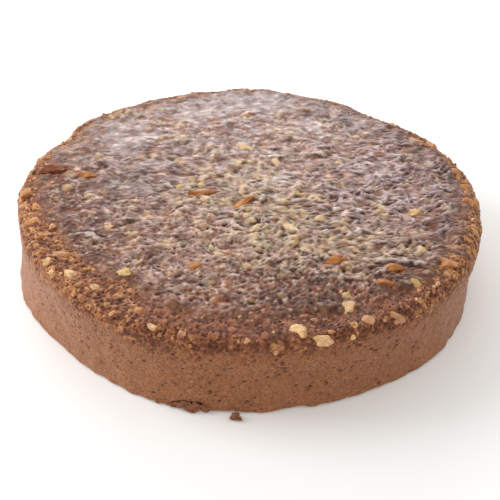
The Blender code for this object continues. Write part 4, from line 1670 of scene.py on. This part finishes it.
def glazed_material(name, coat_roughness, bump, creased):
    """Nuts and film with a clear, finely creased sugar glaze wherever the gloss attribute says so."""
    made = NodeMaker(name)
    where = made.node("ShaderNodeTexCoord").outputs["Object"]
    gloss = made.attribute("gloss", "Fac")
    stretch = made.node("ShaderNodeVectorMath", {1: CREASE_STRETCH}, {0: where}, operation="MULTIPLY")
    waves = made.noise(stretch.outputs[0], Scale=330.0, Detail=1.0, Distortion=0.7)
    away = made.maths("ABSOLUTE", made.maths("SUBTRACT", waves, 0.5))
    crease = made.ramp(away, 0.0, 0.07, 1.0, 0.0)
    speckle = made.noise(where, Scale=1100.0, Detail=4.0)
    light = made.ramp(speckle, 0.3, 0.7, 0.85, 1.15)
    shade = made.maths("MULTIPLY", light, made.ramp(waves, 0.25, 0.75, 0.78, 1.20))
    grained = made.scaled(made.attribute("tint", "Color"), shade)
    # A pale line is painted along each crease where the glaze is glossy, as a highlight.
    share = made.maths("MULTIPLY", crease, made.ramp(gloss, 0.0, 1.0, 0.0, creased))
    made.link(made.mixed(share, grained, (*CREASE_HIGHLIGHT, 1.0)), "Base Color")
    made.link(made.ramp(gloss, 0.0, 1.0, 0.72, 0.45), "Roughness")
    made.link(made.ramp(gloss, 0.0, 1.0, 0.0, 0.9), "Coat Weight")
    made.set(Coat_Roughness=coat_roughness, Coat_IOR=1.5, Specular_IOR_Level=0.2)
    ripple = made.noise(where, Scale=620.0, Detail=5.0, Roughness=0.6)
    normal = made.bumped(made.maths("MULTIPLY_ADD", crease, 0.7, ripple), bump, 0.0005)
    made.link(normal, "Normal")
    made.link(normal, "Coat Normal")
    return made.material


# ---- Floor, light and camera ----

AIM = Vector((0.010 * RIM_RADIUS, 0.0, 0.063 * RIM_RADIUS))
CAMERA_DISTANCE = 5.545 * RIM_RADIUS
CAMERA_ELEVATION = radians(35.5)
CAMERA_ROLL = radians(2.15)
FOCAL_SHARE = 2.48
SENSOR = 36.0
ROOM_LIGHT = 0.74
ROOM_COLOUR = (1.0, 0.985, 0.96, 1.0)
FLOOR_SIZE = 12.0

# Lights: name, azimuth and elevation in degrees, distance, size, radiance and colour.
LIGHTS = (
    ("key", 168, 34, 1.3, (0.8, 0.7), 5.6, (0.96, 0.98, 1.0)),
    ("back", 102, 22, 1.7, (1.7, 0.45), 6.0, (0.96, 0.97, 1.0)),
)


def make_camera():
    """The camera, seen from the front and above, with its slight roll."""
    data = bpy.data.cameras.new("camera")
    data.sensor_width = SENSOR
    data.lens = SENSOR * FOCAL_SHARE
    camera = put_in("camera", data)
    back = Vector((0.0, -cos(CAMERA_ELEVATION), sin(CAMERA_ELEVATION)))
    look = (-back).to_track_quat("-Z", "Y").to_matrix().to_4x4()
    place = Matrix.Translation(AIM + back * CAMERA_DISTANCE)
    camera.matrix_world = place @ look @ Matrix.Rotation(CAMERA_ROLL, 4, "Z")
    bpy.context.scene.camera = camera


def make_light(name, azimuth, elevation, distance, size, radiance, colour):
    """A soft rectangular light that faces the cake. Azimuth runs from +X, anticlockwise."""
    data = bpy.data.lights.new(name, "AREA")
    data.shape = "RECTANGLE"
    data.size = size[0]
    data.size_y = size[1]
    data.energy = radiance * pi * size[0] * size[1]
    data.color = colour
    light = put_in(name, data)
    turn = radians(azimuth)
    rise = radians(elevation)
    away = Vector((cos(turn) * cos(rise), sin(turn) * cos(rise), sin(rise)))
    light.location = AIM + away * distance
    light.rotation_mode = "QUATERNION"
    light.rotation_quaternion = away.to_track_quat("Z", "Y")


def make_surroundings():
    """White room light, a key from the left, a wide light behind, and a pale floor."""
    world = bpy.data.worlds.new("studio")
    bpy.context.scene.world = world
    world.use_nodes = True
    room = world.node_tree.nodes["Background"]
    room.inputs["Color"].default_value = ROOM_COLOUR
    room.inputs["Strength"].default_value = ROOM_LIGHT
    for light in LIGHTS:
        make_light(*light)
    bpy.ops.mesh.primitive_plane_add(size=FLOOR_SIZE)
    floor = bpy.context.object
    floor.name = "floor"
    paint = NodeMaker("floor")
    paint.set(Base_Color=(0.93, 0.93, 0.92, 1.0), Roughness=0.9, Specular_IOR_Level=0.1)
    paint.set(Emission_Color=(1.0, 1.0, 1.0, 1.0), Emission_Strength=0.10)
    floor.data.materials.append(paint.material)
    bpy.context.scene.view_settings.view_transform = "Standard"


# ---- The whole cake ----


def dress(piece, material):
    """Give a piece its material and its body."""
    piece.data.materials.append(material)
    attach(piece, "root")


make_camera()
make_surroundings()
side = side_maps()
sponge = make_sponge(side)
rim = make_rim(side)
glaze = make_glaze(top_maps())
tree = surface_tree((glaze, rim))
walnuts = make_walnuts(tree)
crumbs = make_crumbs(tree)
crumb_look = food_material("crumb", grain=0.26, pores=0.62, roughness=0.82, bump=0.5)
dress(sponge, crumb_look)
dress(rim, crumb_look)
dress(glaze, glazed_material("glaze", coat_roughness=0.15, bump=0.30, creased=0.14))
dress(walnuts, glazed_material("walnut", coat_roughness=0.22, bump=0.3, creased=0.2))
dress(crumbs, food_material("loose_crumb", grain=0.16, pores=0.3, roughness=0.85, bump=0.4))
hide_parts("cake")
